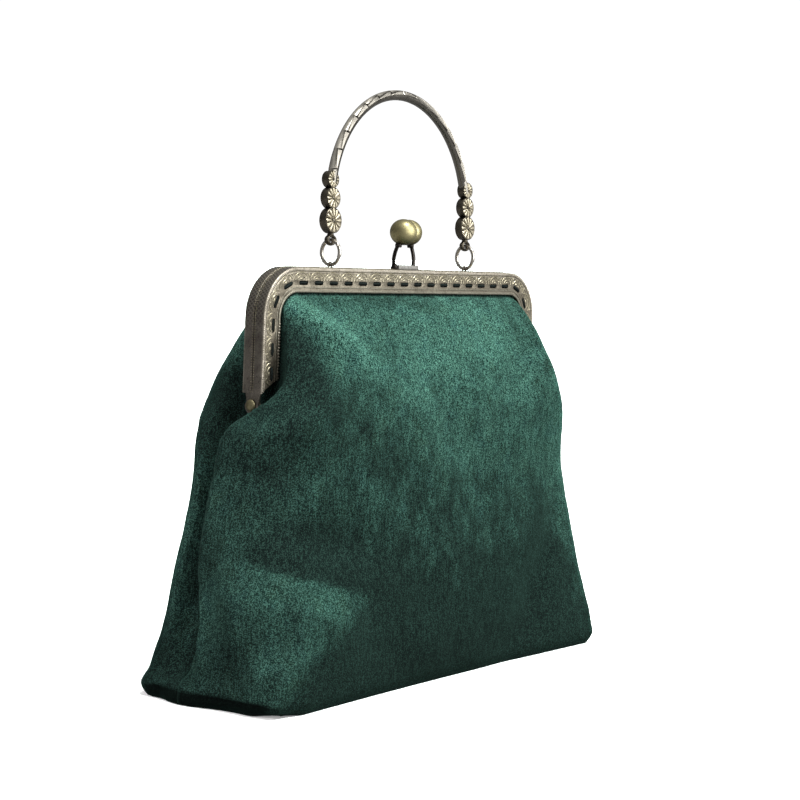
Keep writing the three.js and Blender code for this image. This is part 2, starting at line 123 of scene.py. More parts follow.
def ballShape(centre, radii, around=16, rows=8):
    rings = []
    for r in range(1, rows):
        lat = math.pi * r / rows
        ring = []
        for k in range(around):
            t = 2 * math.pi * k / around
            ring.append(Vector((
                centre[0] + radii[0] * math.sin(lat) * math.cos(t),
                centre[1] + radii[1] * math.sin(lat) * math.sin(t),
                centre[2] + radii[2] * math.cos(lat),
            )))
        rings.append(ring)
    points, faces = skin(rings, capped=False)
    top = len(points)
    points.append(Vector((centre[0], centre[1], centre[2] + radii[2])))
    points.append(Vector((centre[0], centre[1], centre[2] - radii[2])))
    last = (rows - 2) * around
    for k in range(around):
        faces.append((top, (k + 1) % around, k))
        faces.append((top + 1, last + k, last + (k + 1) % around))
    return points, faces


def roundCorners(outline, radius, steps=4):
    result = []
    count = len(outline)
    for i, (x, y) in enumerate(outline):
        spot = Vector((x, y))
        before = Vector(outline[i - 1])
        after = Vector(outline[(i + 1) % count])
        reach = min(radius, (before - spot).length * 0.45, (after - spot).length * 0.45)
        start = spot + (before - spot).normalized() * reach
        end = spot + (after - spot).normalized() * reach
        for k in range(steps + 1):
            t = k / steps
            p = start * (1 - t) ** 2 + spot * 2 * t * (1 - t) + end * t ** 2
            result.append((p.x, p.y))
    return result


def filledPlate(outlines, thick, bevel, place):
    curve = bpy.data.curves.new("plate", "CURVE")
    curve.dimensions = "2D"
    curve.fill_mode = "BOTH"
    curve.extrude = (thick / 2 - bevel) * mm
    curve.bevel_depth = bevel * mm
    curve.bevel_resolution = 1
    curve.offset = -bevel * mm
    for outline in outlines:
        spline = curve.splines.new("POLY")
        spline.points.add(len(outline) - 1)
        for point, (u, v) in zip(spline.points, outline):
            point.co = (u * mm, v * mm, 0, 1)
        spline.use_cyclic_u = True
    holder = bpy.data.objects.new("plate", curve)
    scene.collection.objects.link(holder)
    graph = bpy.context.evaluated_depsgraph_get()
    mesh = bpy.data.meshes.new_from_object(holder.evaluated_get(graph))
    points = [Vector(place(v.co.x / mm, v.co.y / mm, v.co.z / mm)) for v in mesh.vertices]
    faces = [tuple(face.vertices) for face in mesh.polygons]
    bpy.data.objects.remove(holder)
    bpy.data.curves.remove(curve)
    bpy.data.meshes.remove(mesh)
    return points, faces


def mirrored(part, axis):
    points, faces = part
    flipped = []
    for p in points:
        q = Vector(p)
        q[axis] = -q[axis]
        flipped.append(q)
    return flipped, [tuple(reversed(face)) for face in faces]


# A row of one motif, placed by points that carry their turn and size
def rowTree():
    tree = bpy.data.node_groups.new("motifRow", "GeometryNodeTree")
    tree.interface.new_socket("Geometry", in_out="INPUT", socket_type="NodeSocketGeometry")
    tree.interface.new_socket("Motif", in_out="INPUT", socket_type="NodeSocketObject")
    spread = tree.interface.new_socket("Unevenness", in_out="INPUT", socket_type="NodeSocketFloat")
    spread.default_value = 0.0
    seed = tree.interface.new_socket("Seed", in_out="INPUT", socket_type="NodeSocketInt")
    seed.default_value = 7
    tree.interface.new_socket("Finish", in_out="INPUT", socket_type="NodeSocketMaterial")
    tree.interface.new_socket("Geometry", in_out="OUTPUT", socket_type="NodeSocketGeometry")
    nodes = tree.nodes
    links = tree.links
    start = nodes.new("NodeGroupInput")
    end = nodes.new("NodeGroupOutput")
    turn = nodes.new("GeometryNodeInputNamedAttribute")
    turn.data_type = "FLOAT"
    turn.inputs["Name"].default_value = "turn"
    size = nodes.new("GeometryNodeInputNamedAttribute")
    size.data_type = "FLOAT"
    size.inputs["Name"].default_value = "size"
    chance = nodes.new("FunctionNodeRandomValue")
    chance.data_type = "FLOAT"
    chance.inputs["Min"].default_value = -1.0
    chance.inputs["Max"].default_value = 1.0
    change = nodes.new("ShaderNodeMath")
    change.operation = "MULTIPLY_ADD"
    change.inputs[2].default_value = 1.0
    scaled = nodes.new("ShaderNodeMath")
    scaled.operation = "MULTIPLY"
    flip = nodes.new("ShaderNodeMath")
    flip.operation = "MULTIPLY"
    flip.inputs[1].default_value = -1.0
    angles = nodes.new("ShaderNodeCombineXYZ")
    rotation = nodes.new("FunctionNodeEulerToRotation")
    motif = nodes.new("GeometryNodeObjectInfo")
    put = nodes.new("GeometryNodeInstanceOnPoints")
    real = nodes.new("GeometryNodeRealizeInstances")
    colour = nodes.new("GeometryNodeSetMaterial")
    links.new(start.outputs["Geometry"], put.inputs["Points"])
    links.new(start.outputs["Motif"], motif.inputs["Object"])
    links.new(motif.outputs["Geometry"], put.inputs["Instance"])
    links.new(start.outputs["Seed"], chance.inputs["Seed"])
    links.new(chance.outputs[1], change.inputs[0])
    links.new(start.outputs["Unevenness"], change.inputs[1])
    links.new(size.outputs["Attribute"], scaled.inputs[0])
    links.new(change.outputs[0], scaled.inputs[1])
    links.new(scaled.outputs[0], put.inputs["Scale"])
    links.new(turn.outputs["Attribute"], flip.inputs[0])
    links.new(flip.outputs[0], angles.inputs["Y"])
    links.new(angles.outputs[0], rotation.inputs[0])
    links.new(rotation.outputs[0], put.inputs["Rotation"])
    links.new(put.outputs["Instances"], real.inputs["Geometry"])
    links.new(real.outputs["Geometry"], colour.inputs["Geometry"])
    links.new(start.outputs["Finish"], colour.inputs["Material"])
    links.new(colour.outputs["Geometry"], end.inputs["Geometry"])
    return tree


motifRow = rowTree()


def socketName(tree, title):
    for item in tree.interface.items_tree:
        if item.name == title and item.in_out == "INPUT":
            return item.identifier
    return None


# Points, each with place, turn and size, become one mesh of copies
def scatter(name, places, motifParts, finish, unevenness=0.0, seed=7, smoothAngle=50):
    motif = addPiece(name + "Motif", motifParts, finish, smoothAngle)
    mesh = bpy.data.meshes.new(name + "Places")
    mesh.from_pydata([Vector(p[:3]) * mm for p in places], [], [])
    turns = mesh.attributes.new("turn", "FLOAT", "POINT")
    sizes = mesh.attributes.new("size", "FLOAT", "POINT")
    for i, p in enumerate(places):
        turns.data[i].value = p[3]
        sizes.data[i].value = p[4]
    holder = bpy.data.objects.new(name + "Places", mesh)
    scene.collection.objects.link(holder)
    step = holder.modifiers.new("row", "NODES")
    step.node_group = motifRow
    step[socketName(motifRow, "Motif")] = motif
    step[socketName(motifRow, "Unevenness")] = unevenness
    step[socketName(motifRow, "Seed")] = seed
    step[socketName(motifRow, "Finish")] = finish
    graph = bpy.context.evaluated_depsgraph_get()
    result = bpy.data.meshes.new_from_object(holder.evaluated_get(graph))
    result.name = name
    holder.modifiers.remove(step)
    bpy.data.objects.remove(holder)
    bpy.data.objects.remove(motif)
    piece = bpy.data.objects.new(name, result)
    scene.collection.objects.link(piece)
    return piece


def flippedCopy(source, name, axis):
    mesh = source.data.copy()
    mesh.name = name
    for vertex in mesh.vertices:
        vertex.co[axis] = -vertex.co[axis]
    mesh.flip_normals()
    piece = bpy.data.objects.new(name, mesh)
    scene.collection.objects.link(piece)
    return piece


# Shader helpers
def newMaterial(name):
    material = bpy.data.materials.new(name)
    material.use_nodes = True
    return material, material.node_tree.nodes, material.node_tree.links


def noiseNode(nodes, links, source, scale, detail=3.0, rough=0.55, stretch=(1, 1, 1)):
    spread = nodes.new("ShaderNodeMapping")
    spread.inputs["Scale"].default_value = stretch
    links.new(source, spread.inputs["Vector"])
    texture = nodes.new("ShaderNodeTexNoise")
    texture.inputs["Scale"].default_value = scale
    texture.inputs["Detail"].default_value = detail
    texture.inputs["Roughness"].default_value = rough
    links.new(spread.outputs["Vector"], texture.inputs["Vector"])
    return texture.outputs["Fac"]


def rampNode(nodes, links, source, low, high, fromValue=0.0, toValue=1.0):
    ramp = nodes.new("ShaderNodeMapRange")
    ramp.interpolation_type = "SMOOTHSTEP"
    ramp.inputs["From Min"].default_value = low
    ramp.inputs["From Max"].default_value = high
    ramp.inputs["To Min"].default_value = fromValue
    ramp.inputs["To Max"].default_value = toValue
    links.new(source, ramp.inputs["Value"])
    return ramp.outputs["Result"]


def mixColour(nodes, links, share, first, second):
    mix = nodes.new("ShaderNodeMix")
    mix.data_type = "RGBA"
    links.new(share, mix.inputs["Factor"])
    for value, socket in ((first, mix.inputs["A"]), (second, mix.inputs["B"])):
        if isinstance(value, tuple):
            socket.default_value = value
        else:
            links.new(value, socket)
    return mix.outputs["Result"]


def mathNode(nodes, links, operation, first, second):
    node = nodes.new("ShaderNodeMath")
    node.operation = operation
    for value, socket in ((first, node.inputs[0]), (second, node.inputs[1])):
        if isinstance(value, (int, float)):
            socket.default_value = value
        else:
            links.new(value, socket)
    return node.outputs[0]


# Wear shared by every metal: tarnish in patches, rubbed spots and fine pitting
def wearGroup():
    group = bpy.data.node_groups.new("metalWear", "ShaderNodeTree")
    for title in ("Bright", "Tarnish", "Dark"):
        group.interface.new_socket(title, in_out="INPUT", socket_type="NodeSocketColor")
    group.interface.new_socket("Polish", in_out="INPUT", socket_type="NodeSocketFloat")
    group.interface.new_socket("Age", in_out="INPUT", socket_type="NodeSocketFloat")
    group.interface.new_socket("Colour", in_out="OUTPUT", socket_type="NodeSocketColor")
    group.interface.new_socket("Roughness", in_out="OUTPUT", socket_type="NodeSocketFloat")
    group.interface.new_socket("Height", in_out="OUTPUT", socket_type="NodeSocketFloat")
    nodes = group.nodes
    links = group.links
    start = nodes.new("NodeGroupInput")
    end = nodes.new("NodeGroupOutput")
    place = nodes.new("ShaderNodeTexCoord").outputs["Object"]
    patches = noiseNode(nodes, links, place, 150.0, 4.0, 0.6)
    fine = noiseNode(nodes, links, place, 900.0, 3.0, 0.6)
    tone = rampNode(nodes, links, patches, 0.34, 0.66)
    aged = mathNode(nodes, links, "MULTIPLY", tone, start.outputs["Age"])
    first = mixColour(nodes, links, aged, start.outputs["Bright"], start.outputs["Tarnish"])
    spots = rampNode(nodes, links, fine, 0.56, 0.72)
    grain = noiseNode(nodes, links, place, 2400.0, 2.0, 0.6)
    specks = rampNode(nodes, links, grain, 0.50, 0.68, 0.0, 0.7)
    spotted = mathNode(nodes, links, "MAXIMUM", spots, specks)
    spotShare = mathNode(nodes, links, "MULTIPLY", spotted, start.outputs["Age"])
    second = mixColour(nodes, links, spotShare, first, start.outputs["Dark"])
    duller = mathNode(nodes, links, "MULTIPLY", tone, 0.16)
    speck = mathNode(nodes, links, "MULTIPLY", spots, 0.12)
    spread = mathNode(nodes, links, "ADD", duller, speck)
    rough = mathNode(nodes, links, "ADD", spread, start.outputs["Polish"])
    links.new(second, end.inputs["Colour"])
    links.new(rough, end.inputs["Roughness"])
    links.new(fine, end.inputs["Height"])
    return group


metalWear = wearGroup()


def metal(name, look):
    material, nodes, links = newMaterial(name)
    shader = nodes["Principled BSDF"]
    wear = nodes.new("ShaderNodeGroup")
    wear.node_tree = metalWear
    wear.inputs["Bright"].default_value = look["bright"] + (1,)
    wear.inputs["Tarnish"].default_value = look["tarnish"] + (1,)
    wear.inputs["Dark"].default_value = look["dark"] + (1,)
    wear.inputs["Polish"].default_value = look["polish"]
    wear.inputs["Age"].default_value = look["age"]
    bump = nodes.new("ShaderNodeBump")
    bump.inputs["Strength"].default_value = look["pitting"]
    bump.inputs["Distance"].default_value = 0.0002
    colour = wear.outputs["Colour"]
    # The attribute blends in a lighter colour, for rubbed wear and for painted highlight and shade
    if "rubbedAndLit" in look:
        rub = nodes.new("ShaderNodeAttribute")
        rub.attribute_name = "rub"
        colour = mixColour(nodes, links, rub.outputs["Fac"], colour, look["rubbedAndLit"] + (1,))
    if "shadow" in look:
        place = nodes.new("ShaderNodeTexCoord").outputs["Object"]
        parts = nodes.new("ShaderNodeSeparateXYZ")
        links.new(place, parts.inputs["Vector"])
        under = rampNode(nodes, links, parts.outputs["Z"], look["shadow"][0], look["shadow"][1], 0.9, 0.0)
        colour = mixColour(nodes, links, under, colour, look["dark"] + (1,))
    height = wear.outputs["Height"]
    if "knurl" in look:
        ridges = knurlHeight(nodes, links, look["knurl"])
        height = mathNode(nodes, links, "ADD", height, ridges)
        # Grooves darken with tarnish; crests lighten, partly rubbed wear and partly a painted highlight that
        # makes the top of the wall, where the ridges are strong, lighter than the legs
        grooves = rampNode(nodes, links, ridges, -0.05, -0.9, 0.0, 0.42)
        colour = mixColour(nodes, links, grooves, colour, look["dark"] + (1,))
        crests = rampNode(nodes, links, ridges, 0.25, 1.3, 0.0, 0.34)
        colour = mixColour(nodes, links, crests, colour, look["crest"] + (1,))
    links.new(colour, shader.inputs["Base Color"])
    links.new(wear.outputs["Roughness"], shader.inputs["Roughness"])
    links.new(height, bump.inputs["Height"])
    links.new(bump.outputs["Normal"], shader.inputs["Normal"])
    shader.inputs["Metallic"].default_value = 1.0
    return material


# Crossed fine ridges on the outer walls, fading out down the legs
def knurlHeight(nodes, links, pitch):
    place = nodes.new("ShaderNodeTexCoord").outputs["Object"]
    parts = nodes.new("ShaderNodeSeparateXYZ")
    links.new(place, parts.inputs["Vector"])
    along = mathNode(nodes, links, "ADD", parts.outputs["X"], parts.outputs["Z"])
    waves = []
    for way in ("ADD", "SUBTRACT"):
        line = mathNode(nodes, links, way, along, parts.outputs["Y"])
        angle = mathNode(nodes, links, "MULTIPLY", line, 2 * math.pi / (pitch * mm))
        waves.append(mathNode(nodes, links, "SINE", angle, 0.0))
    crossed = mathNode(nodes, links, "MAXIMUM", waves[0], waves[1])
    centred = mathNode(nodes, links, "SUBTRACT", crossed, 0.35)
    fade = rampNode(nodes, links, parts.outputs["Z"], 0.148, 0.168, 0.12, 1.7)
    return mathNode(nodes, links, "MULTIPLY", centred, fade)


wallLook = {
    "bright": (0.24, 0.217, 0.183), "tarnish": (0.15, 0.135, 0.113), "dark": (0.055, 0.049, 0.041),
    "polish": 0.38, "age": 0.8, "pitting": 0.35, "knurl": 2.2, "crest": (0.56, 0.525, 0.44),
}
rodLook = {
    "bright": (0.034, 0.031, 0.026), "tarnish": (0.024, 0.022, 0.018), "dark": (0.012, 0.011, 0.009),
    "polish": 0.26, "age": 0.4, "pitting": 0.04, "rubbedAndLit": (0.80, 0.755, 0.66),
}
ridgeLook = {
    "bright": (0.22, 0.207, 0.165), "tarnish": (0.155, 0.145, 0.112), "dark": (0.06, 0.055, 0.042),
    "polish": 0.44, "age": 0.8, "pitting": 0.5,
}
reliefLook = {
    "bright": (0.345, 0.318, 0.231), "tarnish": (0.255, 0.229, 0.158), "dark": (0.10, 0.088, 0.058),
    "polish": 0.4, "age": 0.6, "pitting": 0.2,
}
rimLook = {
    "bright": (0.39, 0.357, 0.297), "tarnish": (0.265, 0.24, 0.19), "dark": (0.11, 0.097, 0.075),
    "polish": 0.44, "age": 0.7, "pitting": 0.5,
}
recessLook = {
    "bright": (0.20, 0.18, 0.139), "tarnish": (0.13, 0.115, 0.088), "dark": (0.048, 0.042, 0.032),
    "polish": 0.46, "age": 0.8, "pitting": 0.6,
}
ringLook = {
    "bright": (0.56, 0.525, 0.46), "tarnish": (0.36, 0.33, 0.285), "dark": (0.12, 0.105, 0.09),
    "polish": 0.2, "age": 0.4, "pitting": 0.0,
}
discLook = {
    "bright": (0.13, 0.115, 0.088), "tarnish": (0.065, 0.057, 0.044), "dark": (0.025, 0.022, 0.017),
    "polish": 0.38, "age": 0.8, "pitting": 0.3,
}
petalLook = {
    "bright": (0.48, 0.44, 0.335), "tarnish": (0.36, 0.32, 0.23), "dark": (0.15, 0.13, 0.085),
    "polish": 0.42, "age": 0.5, "pitting": 0.1,
}
brassLook = {
    "bright": (0.40, 0.36, 0.19), "tarnish": (0.28, 0.25, 0.13), "dark": (0.06, 0.055, 0.028),
    "polish": 0.36, "age": 0.4, "pitting": 0.03, "shadow": (0.1913, 0.1952),
}
rivetLook = {
    "bright": (0.36, 0.33, 0.20), "tarnish": (0.24, 0.215, 0.125), "dark": (0.10, 0.088, 0.05),
    "polish": 0.48, "age": 0.8, "pitting": 0.2,
}
footLook = {
    "bright": (0.28, 0.275, 0.26), "tarnish": (0.19, 0.185, 0.17), "dark": (0.07, 0.066, 0.06),
    "polish": 0.5, "age": 0.6, "pitting": 0.2,
}
blackLook = {
    "bright": (0.045, 0.04, 0.036), "tarnish": (0.024, 0.022, 0.02), "dark": (0.012, 0.011, 0.010),
    "polish": 0.34, "age": 0.7, "pitting": 0.15,
}
wallMetal = metal("knurledBronze", wallLook)
rodMetal = metal("carvedBronze", rodLook)
reliefMetal = metal("rubbedRelief", reliefLook)
rimMetal = metal("rimBronze", rimLook)
ridgeMetal = metal("ridgeBronze", ridgeLook)
recessMetal = metal("dullRecess", recessLook)
ringMetal = metal("ringBronze", ringLook)
discMetal = metal("darkDisc", discLook)
petalMetal = metal("rubbedPetal", petalLook)
brass = metal("agedBrass", brassLook)
rivetBrass = metal("dullBrass", rivetLook)
footMetal = metal("greySteel", footLook)
blackMetal = metal("blackenedSteel", blackLook)

velvetLook = {
    "deep": (0.0024, 0.0050, 0.0043, 1), "pile": (0.0168, 0.0510, 0.0394, 1),
    "tip": (0.072, 0.186, 0.143, 1), "pit": (0.0013, 0.0032, 0.0028, 1),
    "blue": (0.014, 0.050, 0.051, 1), "moss": (0.022, 0.051, 0.030, 1),
    "black": (0.0008, 0.0011, 0.0010, 1), "sheen": (0.28, 0.72, 0.56, 1),
    "tuft": 3300.0, "level": 0.27, "napAndShadeRange": (0.145, 0.92), "nearEnd": (-0.100, -0.055),
}


def velvet():
    material, nodes, links = newMaterial("greenVelvet")
    shader = nodes["Principled BSDF"]
    place = nodes.new("ShaderNodeTexCoord").outputs["Object"]
    nap = nodes.new("ShaderNodeAttribute")
    nap.attribute_name = "nap"
    tufts = nodes.new("ShaderNodeTexVoronoi")  # one cell for each tuft of pile
    tufts.inputs["Scale"].default_value = velvetLook["tuft"]
    links.new(place, tufts.inputs["Vector"])
    chance = nodes.new("ShaderNodeSeparateColor")
    links.new(tufts.outputs["Color"], chance.inputs["Color"])
    broad = noiseNode(nodes, links, place, 34.0, 2.0, 0.5)
    streak = noiseNode(nodes, links, place, 150.0, 3.0, 0.5, (1, 1, 0.55))
    rib = noiseNode(nodes, links, place, 1400.0, 2.0, 0.6, (1, 1, 0.12))
    hue = noiseNode(nodes, links, place, 120.0, 3.0, 0.6)
    cloud = mathNode(nodes, links, "MULTIPLY", broad, 0.45)
    parts = nodes.new("ShaderNodeSeparateXYZ")
    links.new(place, parts.inputs["Vector"])
    sway = rampNode(nodes, links, parts.outputs["X"], *velvetLook["nearEnd"], 0.2, 0.6)  # calmer there
    sink = rampNode(nodes, links, parts.outputs["X"], -0.104, -0.070, 0.55, 1.0)
    centred = mathNode(nodes, links, "SUBTRACT", streak, 0.5)
    brush = mathNode(nodes, links, "MULTIPLY", centred, sway)
    tone = mathNode(nodes, links, "ADD", cloud, brush)
    lifted = mathNode(nodes, links, "ADD", tone, velvetLook["level"])
    # The nap attribute adds brushed pile together with painted highlight and shade
    brushedAndShaded = mathNode(nodes, links, "ADD", lifted, nap.outputs["Fac"])
    share = rampNode(nodes, links, brushedAndShaded, *velvetLook["napAndShadeRange"])
    cool = rampNode(nodes, links, hue, 0.52, 0.70, 0.0, 0.55)
    warm = rampNode(nodes, links, hue, 0.46, 0.30, 0.0, 0.55)
    cooler = mixColour(nodes, links, cool, velvetLook["pile"], velvetLook["blue"])
    mottled = mixColour(nodes, links, warm, cooler, velvetLook["moss"])
    ground = mixColour(nodes, links, share, velvetLook["deep"], mottled)
    ribbed = mathNode(nodes, links, "MULTIPLY_ADD", rib, 1.1)
    ribbed.node.inputs[2].default_value = -0.55
    speck = mathNode(nodes, links, "ADD", chance.outputs["Red"], ribbed)
    tips = rampNode(nodes, links, speck, 0.47, 0.92, 0.0, 0.95)
    reach = mathNode(nodes, links, "MULTIPLY_ADD", share, 0.84)
    reach.node.inputs[2].default_value = 0.155
    litTips = mathNode(nodes, links, "MULTIPLY", tips, reach)
    tipped = mixColour(nodes, links, litTips, ground, velvetLook["tip"])
    pits = rampNode(nodes, links, speck, 0.50, 0.12, 0.0, 0.96)
    sunk = mathNode(nodes, links, "MULTIPLY", pits, sink)
    pitted = mixColour(nodes, links, sunk, tipped, velvetLook["pit"])
    # Painted shade: where the tone is very low the colour goes towards near black
    shade = rampNode(nodes, links, nap.outputs["Fac"], -0.4, -0.85, 0.0, 0.85)
    shaded = mixColour(nodes, links, shade, pitted, velvetLook["black"])
    links.new(shaded, shader.inputs["Base Color"])
    bump = nodes.new("ShaderNodeBump")
    bump.inputs["Strength"].default_value = 0.04
    bump.inputs["Distance"].default_value = 0.0003
    links.new(speck, bump.inputs["Height"])
    links.new(bump.outputs["Normal"], shader.inputs["Normal"])
    shader.inputs["Roughness"].default_value = 0.92
    shader.inputs["Specular IOR Level"].default_value = 0.03
    shader.inputs["Sheen Weight"].default_value = 0.05
    shader.inputs["Sheen Roughness"].default_value = 0.45
    shader.inputs["Sheen Tint"].default_value = velvetLook["sheen"]
    return material


threadLook = {"hollow": (0.002, 0.003, 0.003, 1), "fibre": (0.012, 0.017, 0.015, 1)}


def threadMaterial():
    material, nodes, links = newMaterial("darkThread")
    shader = nodes["Principled BSDF"]
    place = nodes.new("ShaderNodeTexCoord").outputs["Object"]
    fibre = noiseNode(nodes, links, place, 2600.0, 2.0, 0.6)
    colour = mixColour(nodes, links, fibre, threadLook["hollow"], threadLook["fibre"])
    links.new(colour, shader.inputs["Base Color"])
    shader.inputs["Roughness"].default_value = 0.9
    shader.inputs["Specular IOR Level"].default_value = 0.05
    return material


velvetCloth = velvet()
thread = threadMaterial()
print("materials made")

# Frame halves
frameSize = {
    "half": 100, "top": 180.3, "corner": 21, "face": 10.6, "hinge": 123, "front": -4.9, "proud": -5.3,
    "plate": 0.8, "parting": -0.2, "lip": 8.6, "footRise": 5, "footSlant": 6,
}
ringSize = {"span": 50, "radius": 5.35, "wire": 0.8, "plane": 1.8, "height": 186.85}


def faceEnd(inset):
    return frameSize["hinge"] + frameSize["footRise"] + frameSize["footSlant"] * inset / frameSize["face"]


def frameStations(legSteps=10, bendSteps=18, topSteps=24):
    stations = [("leftLeg", i / legSteps) for i in range(legSteps)]
    stations += [("leftBend", i / bendSteps) for i in range(bendSteps)]
    stations += [("top", -1 + 2 * i / topSteps) for i in range(topSteps)]
    stations += [("rightBend", i / bendSteps) for i in range(bendSteps)]
    stations += [("rightLeg", i / legSteps) for i in range(legSteps + 1)]
    return stations


def framePoint(inset, station, foot):
    kind, value = station
    half = frameSize["half"]
    corner = frameSize["corner"]
    radius = corner - inset
    centreZ = frameSize["top"] - corner
    if kind == "leftLeg":
        return -(half - inset), foot + (centreZ - foot) * value
    if kind == "rightLeg":
        return half - inset, foot + (centreZ - foot) * (1 - value)
    if kind == "top":
        return (half - corner) * value, frameSize["top"] - inset
    if kind == "leftBend":
        angle = math.pi - value * math.pi / 2
        return -(half - corner) + radius * math.cos(angle), centreZ + radius * math.sin(angle)
    angle = math.pi / 2 - value * math.pi / 2
    return (half - corner) + radius * math.cos(angle), centreZ + radius * math.sin(angle)


def frameSweep(profile, footDrop=0.0, stations=None):
    rings = []
    for station in stations or frameStations():
        ring = []
        for inset, y in profile:
            x, z = framePoint(inset, station, faceEnd(inset) - footDrop)
            ring.append(Vector((x, y, z)))
        rings.append(ring)
    return skin(rings)


# Places along a row inside the frame edge, each with place, turn and size
def rowPlaces(inset, count, footHeight, y):
    half = frameSize["half"] - inset
    radius = frameSize["corner"] - inset
    straight = frameSize["top"] - frameSize["corner"] - footHeight
    bend = radius * math.pi / 2
    total = 2 * straight + 2 * bend + 2 * (half - radius)
    places = []
    for i in range(count):
        along = total * (i + 0.5) / count
        side = -1 if along > total / 2 else 1
        reach = along if side > 0 else total - along
        x = -half
        z = footHeight + reach
        angle = math.pi / 2
        if reach > straight + bend:
            x = -half + radius + (reach - straight - bend)
            z = frameSize["top"] - inset
            angle = 0.0
        elif reach > straight:
            turn = (reach - straight) / radius
            x = -half + radius - radius * math.cos(turn)
            z = frameSize["top"] - frameSize["corner"] + radius * math.sin(turn)
            angle = math.pi / 2 - turn
        places.append((x * side, y, z, angle * side, 1.0))
    return places


slotSize = {"count": 26, "row": 6.5, "length": 5.8, "height": 1.8, "foot": 131}


def slotOutline(place):
    x, y, z, angle, size = place
    radius = slotSize["height"] / 2
    reach = slotSize["length"] / 2 - radius
    outline = []
    for side in (1, -1):
        for k in range(7):
            t = -math.pi / 2 + math.pi * k / 6
            u = side * (reach + radius * math.cos(t))
            v = side * radius * math.sin(t)
            across = x + u * math.cos(angle) - v * math.sin(angle)
            height = z + u * math.sin(angle) + v * math.cos(angle)
            outline.append((across, height))
    return outline


# The tab at the foot of each leg, as an outline and the hole for its rivet
tabSize = {
    "radius": 3.6, "hole": 1.45, "shoulder": 129.5, "top": 135, "thick": 1.0, "bevel": 0.1,
    "front": 99.53, "back": 98.2,
}


def tabOutlines():
    hinge = frameSize["hinge"]
    outline = [(frameSize["front"], tabSize["top"]), (frameSize["front"], tabSize["shoulder"])]
    for k in range(17):
        t = math.pi + math.pi * k / 16
        outline.append((tabSize["radius"] * math.cos(t), hinge + tabSize["radius"] * math.sin(t)))
    outline += [(frameSize["parting"], tabSize["shoulder"]), (frameSize["parting"], tabSize["top"])]
    hole = []
    for k in range(20):
        t = 2 * math.pi * k / 20
        hole.append((tabSize["hole"] * math.cos(t), hinge + tabSize["hole"] * math.sin(t)))
    return [outline, hole]


def tabPlate(place):
    return filledPlate(tabOutlines(), tabSize["thick"], tabSize["bevel"], place)


slotPlaces = rowPlaces(slotSize["row"], slotSize["count"], slotSize["foot"], 0)
archPlaces = rowPlaces(slotSize["row"] - 1.7, slotSize["count"], slotSize["foot"], 0)


def frameFace():
    outer = [framePoint(0.5, s, faceEnd(0.5)) for s in frameStations()]
    inner = [framePoint(10.4, s, faceEnd(10.4)) for s in frameStations()]
    outlines = [outer + inner[::-1]] + [slotOutline(p) for p in slotPlaces]
    middle = frameSize["front"] + frameSize["plate"] / 2
    return filledPlate(outlines, frameSize["plate"], 0.12, lambda u, v, w: (u, middle - w, v))


def frameShell():
    parting = frameSize["parting"]
    lipEnd = frameSize["lip"]
    wall = roundCorners([(0, parting), (0, -4.7), (1.0, -4.7), (1.0, parting)], 0.3)
    lip = [(0.6, -1.0), (0.6, parting), (lipEnd, parting), (lipEnd, -1.0)]
    return [frameSweep(wall), frameSweep(lip)]


def frameBeads():
    proud = frameSize["proud"]
    face = frameSize["face"]
    ridge = roundCorners([(9.35, -4.6), (9.35, proud), (face, proud), (face, -4.2)], 0.5)
    line = roundCorners([(8.15, -4.6), (8.15, -5.12), (8.75, -5.12), (8.75, -4.6)], 0.25)
    rim = roundCorners([(0.02, -4.0), (0.02, proud), (1.55, proud), (1.7, -4.5), (0.9, -4.0)], 0.6)
    thin = roundCorners([(1.95, -4.6), (1.95, -5.08), (2.35, -5.08), (2.35, -4.6)], 0.2)
    return [frameSweep(rim), frameSweep(thin)], [frameSweep(ridge), frameSweep(line)]


stapleSize = {"radius": 1.15, "height": 181.55, "foot": 179.9, "plane": 1.8, "wire": 0.36}


def stapleParts(x):
    radius = stapleSize["radius"]
    ring = []
    for k in range(13):
        t = math.pi * (1 - k / 12)
        ring.append((x + radius * math.cos(t), stapleSize["height"] + radius * math.sin(t)))
    spine = [(x - radius, stapleSize["foot"])] + ring + [(x + radius, stapleSize["foot"])]
    return tube([Vector((u, stapleSize["plane"], v)) for u, v in spine], stapleSize["wire"], 10)


def archMotif():
    front = frameSize["front"] + 0.06
    parts = []
    for wide, high, thick in ((4.5, 3.45, 0.32), (2.7, 1.95, 0.3)):
        arc = []
        for k in range(17):
            t = math.pi * k / 16
            arc.append(Vector((wide * math.cos(t), front, -0.7 + high * math.sin(t))))
        parts.append(tube(arc, thick, 6))
    for k in range(5):
        t = math.radians(30 + 30 * k)
        start = Vector((3.05 * math.cos(t), front, -0.7 + 2.25 * math.sin(t)))
        end = Vector((4.1 * math.cos(t), front, -0.7 + 3.1 * math.sin(t)))
        parts.append(tube([start, (start + end) / 2, end], [0.14, 0.24, 0.2], 5))
    parts.append(ballShape((0, front, 0.05), (1.1, 0.26, 0.5), 10, 5))
    parts.append(ballShape((5.0, front, 1.7), (0.5, 0.28, 0.9), 8, 5))
    return parts


def tickMotif(length, width, height):
    return [ballShape((0, 0, 0), (width, height, length), 6, 5)]


def rimTicks(inset, pitch, y, keepTop):
    half = frameSize["half"] - inset
    radius = frameSize["corner"] - inset
    straight = frameSize["top"] - frameSize["corner"] - faceEnd(inset)
    total = 2 * straight + radius * math.pi + 2 * (half - radius)
    places = rowPlaces(inset, int(total / pitch), faceEnd(inset), y)
    edge = frameSize["half"] - frameSize["corner"]
    return [p for p in places if keepTop or abs(p[0]) > edge - 4]


